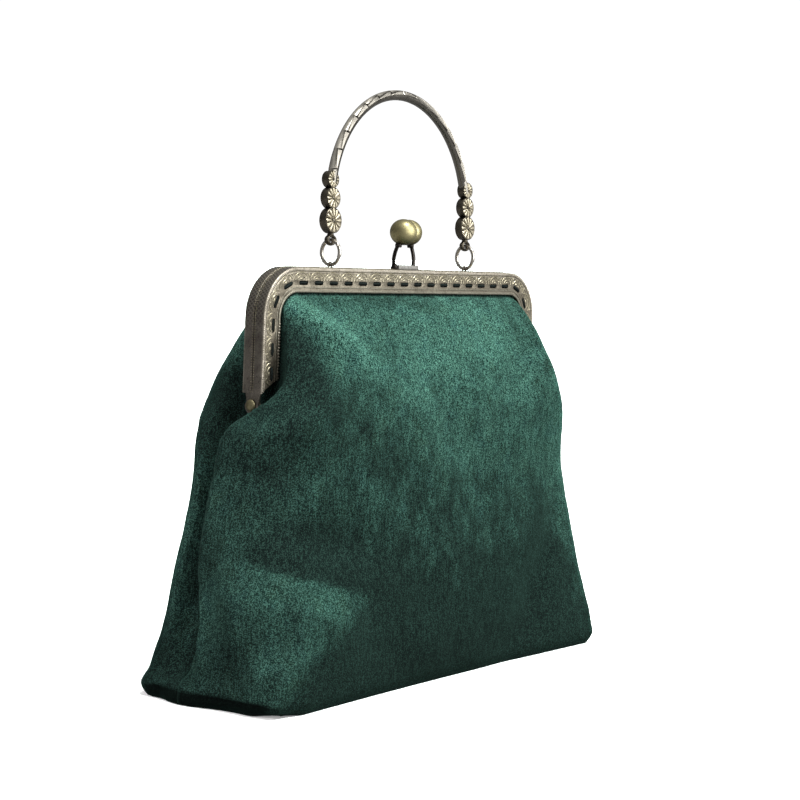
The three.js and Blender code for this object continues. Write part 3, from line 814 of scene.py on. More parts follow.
frontPlate = addPiece("frontFrameFace", [frameFace()], recessMetal, 30)
frontShellParts = frameShell()
for side in (-1, 1):
    frontShellParts.append(tabPlate(lambda u, v, w: (side * tabSize["front"] + w, u, v)))
frontShell = addPiece("frontFrameShell", frontShellParts, wallMetal, 35)
rimParts, ridgeParts = frameBeads()
frontBeads = addPiece("frontFrameBeads", rimParts, rimMetal, 40)
frontRidges = addPiece("frontFrameRidges", ridgeParts, ridgeMetal, 40)
frontArches = scatter("frontFrameArches", archPlaces, archMotif(), reliefMetal)
edgeTicks = rimTicks(0.85, 0.9, frameSize["proud"], False)
frontTicks = scatter("frontFrameTicks", edgeTicks, tickMotif(0.62, 0.24, 0.2), rimMetal)
legTicks = [p for p in rimTicks(9.98, 1.25, frameSize["proud"], False) if p[2] < 158]
frontLegTicks = scatter("frontFrameLegTicks", legTicks, tickMotif(0.62, 0.34, 0.34), rimMetal)

# Fine beading along both sides of the parting line, on the outer walls
beadPlaces = rimTicks(-0.02, 1.05, -0.62, True)
beadShape = ballShape((0, 0, 0), (0.3, 0.27, 0.3), 6, 4)
frontBeading = scatter("frontFrameBeading", beadPlaces, [beadShape], reliefMetal)

# The back half repeats the front one, apart from its tabs and the staples for the rings
backShellParts = [mirrored(part, 1) for part in frameShell()]
bridgeFaces = [(0, 1, 3, 2), (4, 6, 7, 5), (0, 4, 5, 1), (2, 3, 7, 6), (0, 2, 6, 4), (1, 5, 7, 3)]
for side in (-1, 1):
    tab = tabPlate(lambda u, v, w: (side * tabSize["back"] + w, -u, v))
    bridge = [Vector((side * x, y, z)) for x in (97.9, 99.2) for y in (0.2, 4.9) for z in (131, 135)]
    backShellParts += [tab, (bridge, bridgeFaces), stapleParts(side * ringSize["span"])]
backShell = addPiece("backFrameShell", backShellParts, wallMetal, 35)
frontDress = [frontPlate, frontBeads, frontRidges, frontArches, frontTicks, frontLegTicks, frontBeading]
backDress = [flippedCopy(piece, piece.name.replace("front", "back"), 1) for piece in frontDress]
for piece in [frontShell, backShell] + frontDress + backDress:
    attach(piece, "bag")
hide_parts("front_frame")
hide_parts("back_frame")

# Thread that sews the cloth to the frame, one stitch in every slot
stitchPath = [Vector((-2.75 + 5.5 * k / 8, -4.35 - 0.35 * math.sin(math.pi * k / 8), 0)) for k in range(9)]
stitchRadius = [0.45] + [0.66] * 7 + [0.45]
frontStitches = scatter("frontStitches", slotPlaces, [tube(stitchPath, stitchRadius, 8)], thread, 0.05)
backStitches = flippedCopy(frontStitches, "backStitches", 1)
for piece in (frontStitches, backStitches):
    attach(piece, "bag")
print("frame halves made")

# Hinge rivets
rivetSize = {"outside": 100.3, "shank": 1.1, "head": 2.5, "dome": 1.15}


def rivetParts(side):
    shank = rivetSize["shank"]
    head = rivetSize["head"]
    profile = [(0.01, -4.2), (1.9, -4.2), (1.9, -3.4), (shank, -3.4), (shank, 0), (2.4, 0), (head, 0.15)]
    for k in range(1, 9):
        t = math.pi / 2 * k / 8
        profile.append((max(0.01, head * math.cos(t)), 0.15 + rivetSize["dome"] * math.sin(t)))
    return [turned(profile, (side * rivetSize["outside"], 0, frameSize["hinge"]), (side, 0, 0), 28)]


for side, label in ((-1, "left"), (1, "right")):
    rivet = addPiece(label + "Rivet", rivetParts(side), rivetBrass, 40)
    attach(rivet, "bag")
    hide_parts(label + "_rivet")

# Kiss lock
claspSize = {
    "shift": 1, "ball": 6.1, "squash": 0.25, "ballHeight": 197.1, "stem": 0.86, "foot": 0.9, "row": 2.45,
}


def collarPlace(side):
    across = 5.8 if side > 0 else -7.4
    return Vector((claspSize["shift"] + across, side * 1.6, claspSize["ballHeight"] - 5.2))


def claspCurve(side):
    footY = -side * claspSize["row"]
    across = 2.4 if side > 0 else -4.4
    foot = Vector((claspSize["shift"] + across, footY, frameSize["top"] + 0.9))
    bend = Vector((claspSize["shift"] + across + side * 1.6, footY * 0.7, frameSize["top"] + 5.5))
    end = collarPlace(side)
    path = []
    for k in range(21):
        t = k / 20
        path.append(foot * (1 - t) * (1 - 2 * t) + bend * 4 * t * (1 - t) + end * t * (2 * t - 1))
    return path


for side, label in ((1, "front"), (-1, "back")):
    footY = -side * claspSize["row"]
    ballPlace = (claspSize["shift"] + side * 5.45, side * 2.6, claspSize["ballHeight"])
    wide = claspSize["ball"]
    ballParts = [ballShape(ballPlace, (wide, wide, wide - claspSize["squash"]), 48, 28)]
    ball = addPiece(label + "ClaspBall", ballParts, brass, 80)
    collar = [(0.7, -1.7), (1.2, -1.7), (1.5, -1.4), (1.55, -0.3), (1.3, 0.0), (1.4, 1.0), (0.7, 1.3)]
    footX = claspSize["shift"] + side * 4.4
    stemParts = [tube(claspCurve(side), claspSize["stem"], 16)]
    stemParts.append(turned(collar, collarPlace(side), (0, 0, 1), 28))
    if side > 0:
        low = footY - claspSize["foot"]
        high = footY + claspSize["foot"]
        footOutline = [(footX - 13, low), (footX + 2, low), (footX + 2, high), (footX - 13, high)]
        footOutline = roundCorners(footOutline, 0.6)
        footShape = filledPlate([footOutline], 2.1, 0.4, lambda u, v, w: (u, v, frameSize["top"] + 1.1 + w))
    else:
        heel = [(0.01, 0.1), (1.7, 0.1), (1.75, 0.8), (1.35, 1.7), (0.95, 2.6), (0.01, 2.7)]
        footShape = turned(heel, (footX, footY, frameSize["top"]), (0, 0, 1), 24)
    stem = addPiece(label + "ClaspStem", stemParts, blackMetal, 40)
    footPlate = addPiece(label + "ClaspFoot", [footShape], footMetal if side > 0 else blackMetal, 40)
    for piece in (ball, stem, footPlate):
        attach(piece, "bag")
    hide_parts(label + "_clasp")
print("rivets and lock made")

# Jump rings
for side, label, turn in ((-1, "left", 5), (1, "right", 9)):
    path = []
    for k in range(56):
        t = 2 * math.pi * k / 56
        path.append(Vector((
            side * ringSize["span"] + ringSize["radius"] * math.cos(t) * math.sin(math.radians(turn)),
            ringSize["plane"] + ringSize["radius"] * math.cos(t) * math.cos(math.radians(turn)),
            ringSize["height"] + ringSize["radius"] * math.sin(t),
        )))
    ring = addPiece(label + "Ring", [tube(path, ringSize["wire"], 14, True)], ringMetal, 60)
    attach(ring, "bag")
    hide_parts(label + "_ring")

# Handle
handleSize = {
    "plane": 1.8, "arch": 50, "rise": 27.8, "rod": 2.25, "lean": 2.8, "thick": 4.4, "pitch": 9.2,
    "eye": 192.2, "eyeWide": 2.65, "eyeHigh": 1.75, "eyeWall": 0.75, "eyeThick": 1.1, "petals": 12,
}
rosettes = [
    {"rise": 20.2, "radius": 5.5},
    {"rise": 29.8, "radius": 4.65},
    {"rise": 37.8, "radius": 3.7},
]
archCentre = Vector((0, handleSize["plane"], frameSize["top"] + handleSize["rise"]))


def leaned(point):
    angle = -math.radians(handleSize["lean"])
    y = point[1] - handleSize["plane"]
    z = point[2] - ringSize["height"]
    return Vector((
        point[0],
        handleSize["plane"] + y * math.cos(angle) - z * math.sin(angle),
        ringSize["height"] + y * math.sin(angle) + z * math.cos(angle),
    ))


def leanPiece(piece):
    for vertex in piece.data.vertices:
        vertex.co = leaned(vertex.co / mm) * mm


# The rod is carved front and back: flat facets in a row, each row edged by a saw-tooth step
carving = {"outer": -53, "back": 37, "inner": -6, "step": 0.16, "notch": 0.975, "notchDepth": 0.3}


def toothAt(along, angle):
    part = abs(along) / handleSize["pitch"] % 1.0
    tooth = part if part < 0.95 else (1 - part) * 19
    angle = math.atan2(math.sin(angle), math.cos(angle))
    away = math.degrees(angle + math.pi / 2 if angle < 0 else math.pi / 2 - angle)
    near = (part - carving["notch"]) * handleSize["pitch"]
    near = min(abs(near), abs(near + handleSize["pitch"]))
    return tooth, away, near


def carveDepth(along, angle):
    tooth, away, near = toothAt(along, angle)
    low = carving["outer"] + carving["back"] * tooth
    high = carving["inner"]
    if away < low - 3 or away > high:
        return 0.0
    inside = min(1.0, (away - low + 3) / 3)
    half = math.radians(high - low) / 2
    flat = handleSize["rod"] * (1 - math.cos(half) / math.cos(math.radians(away - (low + high) / 2)))
    depth = max(0.0, flat) + carving["step"] * (high - away) / (high - low)
    return inside * (depth + carving["notchDepth"] * math.exp(-(near / 0.34) ** 2))


# How far the bronze is lightened: partly rubbed wear, partly painted highlight and shade set per limb for how
# the light falls, with facets and an outer band on the left limb and a crest and flank on the right one
wornAndLit = {
    "band": 0.85, "facet": 0.28, "facetTop": 0.4, "inside": 0.16, "groove": 0.32,
    "crest": 0.95, "crestEdge": 4, "flank": 0.2, "flankEdge": 36, "flankTooth": 26, "farEdge": 38,
}


def wornAndLitShare(along, angle):
    tooth, away, near = toothAt(along, angle)
    low = carving["outer"] + carving["back"] * tooth
    if away < low:
        left = wornAndLit["band"] * min(1.0, max(0.0, (low - away - 7) / 30))
    elif away < carving["inner"]:
        high = wornAndLit["facet"] + wornAndLit["facetTop"] * max(0.0, 1 - abs(along) / 45)
        left = high * (1 - math.exp(-(near / wornAndLit["groove"]) ** 2))
    else:
        left = wornAndLit["inside"] * min(1.0, (away - carving["inner"]) / 30)
    if away < wornAndLit["crestEdge"]:
        right = wornAndLit["crest"]
    elif away < wornAndLit["flankEdge"] - wornAndLit["flankTooth"] * tooth:
        right = wornAndLit["flank"]
    else:
        right = 0.0 if away < wornAndLit["farEdge"] else wornAndLit["flank"]
    share = min(1.0, max(0.0, (along - 8) / 26))
    return left * (1 - share) + right * share


def rodParts():
    rings = []
    sides = 84
    steps = 760
    for i in range(steps + 1):
        t = 0.055 + (1 - 0.11) * i / steps
        turn = math.pi * (1 - t)
        outwards = Vector((math.cos(turn), 0, math.sin(turn)))
        centre = archCentre + outwards * handleSize["arch"]
        along = (t - 0.5) * math.pi * handleSize["arch"]
        ring = []
        for k in range(sides):
            angle = 2 * math.pi * k / sides
            reach = handleSize["rod"] - carveDepth(along, angle)
            inwards = outwards * (reach * math.cos(angle))
            ring.append(centre - inwards + Vector((0, reach * math.sin(angle), 0)))
        rings.append(ring)
    return skin(rings)


def discParts(x, z, radius):
    half = handleSize["thick"] / 2
    low = 0.5 - half
    high = half - 0.5
    lip = half - 0.22
    inside = radius * 0.86
    rim = radius * 0.95
    profile = [(0.01, low), (inside, low), (rim, -lip), (radius, low)]
    profile += [(radius, high), (rim, lip), (inside, high), (0.01, high)]
    return turned(profile, (x, handleSize["plane"], z), (0, 1, 0), 48)


def petalMotif():
    rows = 9
    around = 8
    rings = []
    for r in range(rows):
        t = r / (rows - 1)
        along = 0.16 + 0.8 * t
        width = 0.185 * along * math.sqrt(max(0.0, 1 - (2 * t - 1) ** 6)) + 0.004
        height = 0.105 * math.sqrt(max(0.0, 1 - (1.55 * t - 0.75) ** 2)) + 0.004
        ring = []
        for k in range(around):
            a = 2 * math.pi * k / around
            ring.append(Vector((along, -height * math.cos(a), width * math.sin(a))))
        rings.append(ring)
    return [skin(rings)]


def handleEnd(side):
    x = side * ringSize["span"]
    plane = handleSize["plane"]
    dark = []
    for row in rosettes:
        dark.append(discParts(x, frameSize["top"] + row["rise"], row["radius"]))
    eye = []
    for k in range(32):
        t = 2 * math.pi * k / 32
        ring = []
        for j in range(12):
            a = 2 * math.pi * j / 12
            wide = handleSize["eyeWide"] + handleSize["eyeWall"] * math.cos(a)
            high = handleSize["eyeHigh"] + handleSize["eyeWall"] * math.cos(a)
            y = plane + handleSize["eyeThick"] * math.sin(a)
            ring.append(Vector((x + wide * math.cos(t), y, handleSize["eye"] + high * math.sin(t))))
        eye.append(ring)
    dark.append(skin(eye, loop=True))
    neck = [(1.15, 1.7), (1.5, 2.2), (1.3, 2.8), (1.25, 3.4), (1.75, 4.4)]
    dark.append(turned(neck, (x, plane, handleSize["eye"]), (0, 0, 1), 20))
    return dark


petalPlaces = []
bossParts = []
for side in (-1, 1):
    for row in rosettes:
        for facing in (-1, 1):
            y = handleSize["plane"] + facing * (handleSize["thick"] / 2 - 0.5)
            z = frameSize["top"] + row["rise"]
            x = side * ringSize["span"]
            for k in range(handleSize["petals"]):
                petalPlaces.append((x, y, z, 2 * math.pi * k / handleSize["petals"], row["radius"]))
            boss = 0.17 * row["radius"]
            bossParts.append(ballShape((x, y + facing * 0.15, z), (boss, 0.5, boss), 14, 8))

handleRod = addPiece("handleRod", [rodParts()], rodMetal, 22)
# Per-vertex share of the lighter colour: rubbed wear plus painted highlight and shade that differ between the
# two limbs
rub = handleRod.data.attributes.new("rub", "FLOAT", "POINT")
for i, vertex in enumerate(handleRod.data.vertices):
    offset = vertex.co / mm - archCentre
    turn = math.atan2(offset.z, offset.x)
    outwards = Vector((math.cos(turn), 0, math.sin(turn)))
    local = offset - outwards * handleSize["arch"]
    along = (math.pi / 2 - turn) * handleSize["arch"]
    rub.data[i].value = wornAndLitShare(along, math.atan2(local.y, -local.dot(outwards)))
handleDiscs = addPiece("handleDiscs", handleEnd(-1) + handleEnd(1), discMetal, 40)
handlePetals = scatter("handlePetals", petalPlaces, petalMotif(), petalMetal)
handleBosses = addPiece("handleBosses", bossParts, discMetal, 60)
handlePieces = [handleRod, handleDiscs, handlePetals, handleBosses]
for piece in handlePieces:
    leanPiece(piece)
    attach(piece, "handle")
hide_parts("handle")
print("rings and handle made")

# Velvet body: sections from the floor to the mouth, then folds
sectionColumns = (
    "z", "width", "depth", "bend", "crown", "dent", "seam", "front", "back", "backBend", "backDepth", "ease",
)
sectionRows = [
    (0, 118.4, 35.2, 5, -2.4, 0, 12, 9, 9, 5, 32, 0),
    (2.4, 120.2, 36.5, 5, -2.4, 0.2, 12, 9, 9, 5, 35, 0),
    (5.5, 121.7, 37.2, 5.5, -2.1, 0.4, 12, 9, 9, 5.5, 37.2, 0.5),
    (14, 120.9, 36.2, 7, -0.6, 4, 12.8, 7, 9.5, 7, 36.2, 3.5),
    (30, 119.4, 33, 9, 2, 8.5, 13.4, 5.5, 10, 9, 33, 12.5),
    (60, 117, 29.6, 14, 4, 10.5, 13, 5, 6, 8, 26.8, 13),
    (94, 112.6, 27, 17, 3.5, 11, 10.6, 5, 5, 7.5, 22.8, 12),
    (108, 110.6, 27.6, 17, 2, 13, 9, 5, 6.5, 7.5, 23.2, 7),
    (113, 109.2, 28, 16.5, 1.2, 14.3, 7, 4.6, 8.5, 8.5, 24, 5),
    (116, 108, 28.2, 16, 0.5, 15, 5.4, 4.4, 10, 9.5, 25, 4.5),
    (119.5, 106, 28.3, 15, -0.2, 15.5, 2.8, 4.6, 11.8, 11, 26, 5),
    (122, 104.4, 28.2, 14.4, -0.7, 15.6, 0.8, 5.6, 13, 12.5, 27.2, 7),
    (126, 101.8, 27.8, 13.2, -1.3, 14, 0, 10.5, 14, 13.2, 27.8, 12),
    (134, 98, 26, 11, -2, 9.8, 0, 14.8, 14.8, 11, 26, 19),
    (145, 94, 21, 9, -2, 5.8, 0, 11.8, 11.8, 9, 21, 19),
    (155, 90.6, 15.4, 6, -1, 3, 0, 8.8, 8.8, 6, 15.4, 13),
    (163, 87.6, 9.4, 3, 0, 1.4, 0, 5.1, 5.1, 3, 9.4, 4),
    (167, 84.4, 6.2, 2, 0, 0.3, 0, 3, 3, 2, 6.2, 1),
    (168.8, 82, 4.5, 1.5, 0, 0, 0, 2.1, 2.1, 1.5, 4.5, 0),
    (170.4, 80, 3.7, 1.3, 0, 0, 0, 2, 2, 1.3, 3.7, 0),
]
sections = [dict(zip(sectionColumns, row)) for row in sectionRows]
# Long soft marks on a panel: folds stand out in millimetres; the nap marks are lighter above zero and darker
# below, partly brushed pile and partly painted highlight and shade, such as a painted shadow under the frame,
# dark shoulders by the hinges and a lit ridge on the upper fold
markColumns = ("side", "x", "z", "turn", "length", "width", "amount")
foldRows = [
    (-1, -68, 155, -33, 24, 5.2, 3.2),
    (-1, -80, 68, -12, 46, 11, -2.8),
    (-1, 72, 36, 52, 42, 11, -2.4),
    (-1, 66, 140, 48, 32, 10, -2),
    (-1, 8, 112, -62, 46, 13, -2),
    (-1, 100, 86, 78, 34, 24, -3.4),
    (1, -62, 146, -40, 32, 10, -2.2),
    (1, 60, 146, 42, 32, 10, -2),
    (1, -94, 116, 82, 40, 26, 2.2),
    (1, -10, 60, 12, 56, 13, -2.6),
]
napAndShadeRows = [
    (-1, 10, 140, -20, 66, 26, 0.16),
    (-1, 47, 150, 0, 20, 11, 0.3),
    (-1, -66, 154, -33, 25, 4.6, 0.54),
    (-1, -22, 166, 0, 28, 4.5, -0.22),
    (-1, -98, 122, 0, 13, 9, -0.22),
    (-1, -36, 74, 20, 28, 20, -0.04),
    (-1, -112, 90, 90, 40, 14, -0.08),
    (-1, -91, 142, -62, 22, 9.8, -0.53),
    (-1, -78, 142, 90, 20, 8, 0.05),
    (-1, -107, 101, -50, 18, 10, -0.15),
    (-1, -122.5, 12, 90, 14, 3, -0.18),
    (-1, -98, 34, 60, 14, 8, 0.13),
    (-1, -44, 28, 45, 20, 12, -0.13),
    (-1, 103, 72, 100, 60, 12, 0.19),
    (-1, -117, 60, 0, 8, 8, -0.1),
    (-1, -117, 42, 0, 7, 7, 0.09),
    (-1, -116, 24, 0, 7, 6, -0.06),
    (-1, -62, 100, 10, 36, 26, -0.12),
    (-1, -106, 14, 0, 13, 8, 0.12),
    (-1, 60, 20, 14, 74, 28, -0.22),
    (-1, -24, 10, 6, 54, 20, -0.27),
    (-1, -21, 125, -27, 20, 6, 0.13),
    (-1, 27, 122, -60, 14, 9, -0.1),
    (-1, -44, 109, -20, 14, 8, -0.1),
    (-1, -4, 69, 90, 12, 8, -0.1),
    (-1, 44, 58, 20, 18, 9, 0.08),
    (-1, 60, 17, 0, 22, 8, -0.07),
    (-1, -64, 147, -33, 12, 6, 0.08),
    (-1, -89, 121, 0, 7, 5, 0.08),
    (-1, -107, 77, 0, 8, 6, 0.07),
    (-1, 107, 30, 100, 14, 6, 0.1),
    (1, 0, 135, 0, 70, 30, 0.12),
    (1, -30, 24, 0, 80, 24, -0.14),
    (1, -113, 96, 90, 22, 10, -0.14),
    (1, -120, 14, 90, 18, 8, -0.24),
    (1, -101, 126, 0, 14, 17, -0.62),
    (1, 101, 126, 0, 14, 17, -0.62),
]
folds = [dict(zip(markColumns, row)) for row in foldRows]
napAndShadeMarks = [dict(zip(markColumns, row)) for row in napAndShadeRows]
clothSize = {"wall": 1.9, "sideSteps": 20, "bendSteps": 12, "faceSteps": 88, "baseRows": 12, "lowerShade": 0.272}


def tableAt(z, key):
    last = len(sections) - 1
    k = 0
    while k < last - 1 and sections[k + 1]["z"] < z:
        k += 1

    def rate(i):
        return (sections[i + 1][key] - sections[i][key]) / (sections[i + 1]["z"] - sections[i]["z"])

    def slope(i):
        if i == 0:
            return rate(0)
        if i == last:
            return rate(last - 1)
        before = rate(i - 1)
        after = rate(i)
        return 2 * before * after / (before + after) if before * after > 0 else 0.0

    span = sections[k + 1]["z"] - sections[k]["z"]
    t = min(1.0, max(0.0, (z - sections[k]["z"]) / span))
    a = sections[k][key]
    b = sections[k + 1][key]
    m = slope(k) * span
    n = slope(k + 1) * span
    return (a * (2 * t ** 3 - 3 * t ** 2 + 1) + m * (t ** 3 - 2 * t ** 2 + t)
            + b * (3 * t ** 2 - 2 * t ** 3) + n * (t ** 3 - t ** 2))


def smooth(low, high, value):
    t = min(1.0, max(0.0, (value - low) / (high - low)))
    return t * t * (3 - 2 * t)


def markSum(rows, side, x, z):
    total = 0.0
    for row in rows:
        if row["side"] != side:
            continue
        c = math.cos(math.radians(row["turn"]))
        s = math.sin(math.radians(row["turn"]))
        along = ((x - row["x"]) * c + (z - row["z"]) * s) / row["length"]
        across = (-(x - row["x"]) * s + (z - row["z"]) * c) / row["width"]
        total += row["amount"] * math.exp(-along * along - across * across)
    return total


# One half of the outline at a height, from the left seam to the right seam
def outlineHalf(z, side):
    width = tableAt(z, "width")
    depth = tableAt(z, "depth" if side < 0 else "backDepth")
    bend = tableAt(z, "bend" if side < 0 else "backBend")
    crown = tableAt(z, "crown")
    dent = tableAt(z, "dent")
    valley = tableAt(z, "front" if side < 0 else "back")
    seam = tableAt(z, "seam")
    bendLeft = bend + (tableAt(z, "ease") if side < 0 else 0.0)
    roundLeft = min(bendLeft, 0.74 * depth) if z > 112 else bendLeft
    flatLeft = width - bendLeft
    flatRight = width - bend

    def pinch(y):
        t = abs(y - seam) / valley
        return dent * (1 - t ** 4) ** 2 if t < 1 else 0.0

    def put(x, y):
        share = min(1.0, abs(y) / max(depth, 1))
        facing = -1 if y < 0 else 1
        flat = max(0.0, 1 - (x / flatRight) ** 2)
        rise = crown * flat + markSum(folds, facing, x, z) * min(1.0, depth / 14)
        return Vector((x, y + facing * rise * share * share, z))

    points = []
    steps = clothSize["sideSteps"]
    farLeft = side * (depth - roundLeft)
    farRight = side * (depth - bend)
    for i in range(steps):
        y = seam + (farLeft - seam) * i / steps
        points.append(put(pinch(y) - width, y))
    bends = clothSize["bendSteps"]
    for i in range(bends):
        t = math.pi / 2 * i / bends
        y = farLeft + side * roundLeft * math.sin(t)
        points.append(put(pinch(y) - flatLeft - bendLeft * math.cos(t), y))
    faces = clothSize["faceSteps"]
    for i in range(faces + 1):
        points.append(put(-flatLeft + (flatLeft + flatRight) * i / faces, side * depth))
    for i in range(1, bends + 1):
        t = math.pi / 2 * (1 - i / bends)
        y = farRight + side * bend * math.sin(t)
        points.append(put(flatRight + bend * math.cos(t) - pinch(y), y))
    for i in range(1, steps + 1):
        y = farRight + (seam - farRight) * i / steps
        points.append(put(width - pinch(y), y))
    return points


def clothHeights():
    heights = [170.4 - 0.7 * i for i in range(6)] + [165.3 - 1.6 * i for i in range(100)]
    heights = [z for z in heights if z > 8.8]
    return heights + [8.0, 7.2, 6.4, 5.7, 5.1, 4.5, 3.8, 3.1, 2.4, 1.7, 1.0, 0.45, 0.1]


# Height of the pressed crease over the near lower corner
def creaseHeight(x):
    return 42 - 0.27 * (max(x, -118) + 47)


# How far the cloth stands out of its section at a place, in millimetres
def clothDetail(side, p):
    x, y, z = p
    free = smooth(0, 10, z) * (1 - smooth(150, 166, z)) * (1 - smooth(112, 128, z) * smooth(84, 96, abs(x)))
    broad = noise.noise(Vector((x, y, z)) / 26.0 + Vector((3.1, 7.7, 1.3)))
    small = noise.noise(Vector((x, y, z)) / 10.0 + Vector((9.4, 2.2, 5.8)))
    out = free * (0.9 * broad + 0.25 * small)
    if side < 0:
        below = (creaseHeight(x) - z) / 15.0
        ledge = min(1.0, max(0.0, below)) * (1 - smooth(1.0, 3.2, below)) + 0.18 * smooth(-0.05, 0.09, below)
        reach = (1 - smooth(-90, -54, x)) * (1 - smooth(-14, 4, y))
        out += 3.8 * ledge * reach * smooth(2, 14, z)
        lobe = smooth(98, 108, -x) * smooth(-30, -12, y) * smooth(1, 6, tableAt(z, "seam") - y)
        out += 2.5 * lobe * smooth(30, 60, z) * (1 - smooth(112, 120, z))
        out -= 2.5 * smooth(100, 114, -x) * smooth(20, 32, -y) * (1 - smooth(8, 20, z))
    else:
        out += 2 * smooth(104, 116, -x) * smooth(22, 32, y) * (1 - smooth(3, 12, z))
    out += 5.5 * math.exp(-((y - 12) / 15) ** 2) * (1 - smooth(3, 14, z)) * smooth(104, 112, abs(x))
    endShare = smooth(108, 116, abs(x)) * (1 - smooth(24, 34, abs(y)))
    out -= 0.9 * endShare * math.exp(-((z - 5.3) / 0.8) ** 2)
    return out


def panelRows(side):
    rows = [outlineHalf(z, side) for z in clothHeights()]
    count = len(rows[0])
    moved = []
    for r, row in enumerate(rows):
        above = rows[max(0, r - 1)]
        below = rows[min(len(rows) - 1, r + 1)]
        line = []
        for i, p in enumerate(row):
            across = row[min(count - 1, i + 1)] - row[max(0, i - 1)]
            down = below[i] - above[i]
            normal = across.cross(down).normalized() * side
            normal.y *= min(1.0, abs(p.y - tableAt(p.z, "seam")) / 5)  # both halves meet at the seam
            place = p + normal.normalized() * clothDetail(side, p)
            place.z = max(place.z, 0.1)
            line.append(place)
        moved.append(line)
    edge = moved[-1]
    half = sections[0]["width"]
    for r in range(1, clothSize["baseRows"] + 1):
        t = r / clothSize["baseRows"]
        line = []
        for i, p in enumerate(edge):
            target = Vector((-half + 2 * half * i / (count - 1), sections[0]["seam"], 0.1))
            line.append(p.lerp(target, t))
        moved.append(line)
    return moved


def tongueRows(side):
    rings = []
    for station in frameStations(8, 12, 16):
        ring = []
        for inset in (1.9, 5, 8, 11, 13.4):
            x, z = framePoint(inset, station, 137)
            ring.append(Vector((x, side * 3.5, z)))
        rings.append(ring)
    return rings


def gridFaces(rows, flip):
    points = [p for row in rows for p in row]
    count = len(rows[0])
    faces = []
    for r in range(len(rows) - 1):
        for c in range(count - 1):
            a = r * count + c
            quad = (a, a + 1, a + count + 1, a + count)
            faces.append(tuple(reversed(quad)) if flip else quad)
    return points, faces


# Tone of the pile at a place: brushed nap marks together with painted highlight and shade
def napAndShadeTone(side, p):
    x, y, z = p
    endShare = smooth(100, 114, abs(x)) * (1 - smooth(26, 36, abs(y)))
    tone = markSum(napAndShadeMarks, side, x, z)
    # Painted shade: darker towards the bottom, less so at the ends
    tone -= clothSize["lowerShade"] * (1 - smooth(40, 104, z)) * (1 - 0.85 * endShare)
    if side < 0:
        # Painted highlight on the bulge below the crease over the near lower corner, and painted shade above
        # the crease
        below = creaseHeight(x) - z
        litWedge = smooth(-5, 14, -55 - 1.9 * (42 - z) - x) * smooth(-119, -100, x)
        tone += 0.215 * smooth(-0.5, 3, below) * (1 - 0.2 * smooth(4, 36, below)) * litWedge
        shade = smooth(-1.5, 1, -below) * (1 - smooth(4, 30, -below))
        tone -= 0.22 * shade * smooth(-121, -111, x) * (1 - smooth(-52, -20, x))
    # Painted shade in the valley along the side seam
    tone -= 0.16 * math.exp(-((y - tableAt(z, "seam") - 1) / 4.5) ** 2) * smooth(92, 104, abs(x))
    # Painted shade: near black on the band below the end seams, slightly darker along the bottom edge, and a
    # dark line in the end seam groove
    tone -= 0.8 * (1 - smooth(4.4, 6.6, z)) * endShare
    tone -= 0.03 * (1 - smooth(0.5, 4, z))
    tone -= 0.3 * endShare * math.exp(-((z - 5.3) / 0.8) ** 2)
    return tone


def clothPanel(name, side, node):
    rows = panelRows(side)
    shell = gridFaces(rows, side < 0)
    tongue = gridFaces(tongueRows(side), side > 0)
    panel = addPiece(name, [shell, tongue], velvetCloth, 180, False)
    # Per-vertex tone: brushed pile together with painted highlight and shade
    nap = panel.data.attributes.new("nap", "FLOAT", "POINT")
    for i, vertex in enumerate(panel.data.vertices):
        nap.data[i].value = napAndShadeTone(side, vertex.co / mm)
    thick = panel.modifiers.new("wall", "SOLIDIFY")
    thick.thickness = clothSize["wall"] * mm
    thick.offset = -1
    thick.use_rim = True
    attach(panel, "bag")
    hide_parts(node)
    return panel


frontPanel = clothPanel("frontPanel", -1, "front_panel")
backPanel = clothPanel("backPanel", 1, "back_panel")
print("velvet made")

# Floor, light and camera
stageLook = {
    "floor": (0.872, 0.98, 0.946), "floorGlow": 0.25, "bounce": 0.12, "backdrop": 1.06,
    "dim": (0.16, 0.16, 0.165, 1), "bright": (0.50, 0.50, 0.49, 1),
}
lightLook = {
    "toSun": (0.16, -0.40, 0.90), "sunPower": 10.0, "sunAngle": 45,
    "toGlint": (0.05, -0.38, 0.92), "glintPower": 3.2, "glintAngle": 16,
    "fillPlace": (-0.95, -0.12, 0.32), "fillTarget": (0, 0, 0.08), "fillSize": (0.8, 0.8), "fillPower": 11.5,
    "fillColour": (1.0, 0.84, 0.89),
    "windowPlace": (0.30, -1.05, 0.50), "windowTarget": (0, 0, 0.16), "windowSize": (1.2, 1.1),
    "windowPower": 24,
}
floorMaterial, floorNodes, floorLinks = newMaterial("paleFloor")
floorPlace = floorNodes.new("ShaderNodeTexCoord").outputs["Object"]
floorTone = noiseNode(floorNodes, floorLinks, floorPlace, 3.0)
pale = stageLook["floor"]
patchy = tuple(0.98 * v for v in pale)
seen = mixColour(floorNodes, floorLinks, floorTone, (*pale, 1), (*patchy, 1))
path = floorNodes.new("ShaderNodeLightPath")
bounce = (*[stageLook["bounce"]] * 3, 1)
floorColour = mixColour(floorNodes, floorLinks, path.outputs["Is Camera Ray"], bounce, seen)
floorLinks.new(floorColour, floorNodes["Principled BSDF"].inputs["Base Color"])
floorNodes["Principled BSDF"].inputs["Roughness"].default_value = 0.9
floorNodes["Principled BSDF"].inputs["Specular IOR Level"].default_value = 0.0
glow = (*[stageLook["floorGlow"]] * 3, 1)
floorGlow = mixColour(floorNodes, floorLinks, path.outputs["Is Camera Ray"], (0, 0, 0, 1), glow)
floorLinks.new(floorGlow, floorNodes["Principled BSDF"].inputs["Emission Color"])
floorNodes["Principled BSDF"].inputs["Emission Strength"].default_value = 1.0
floorRings = []
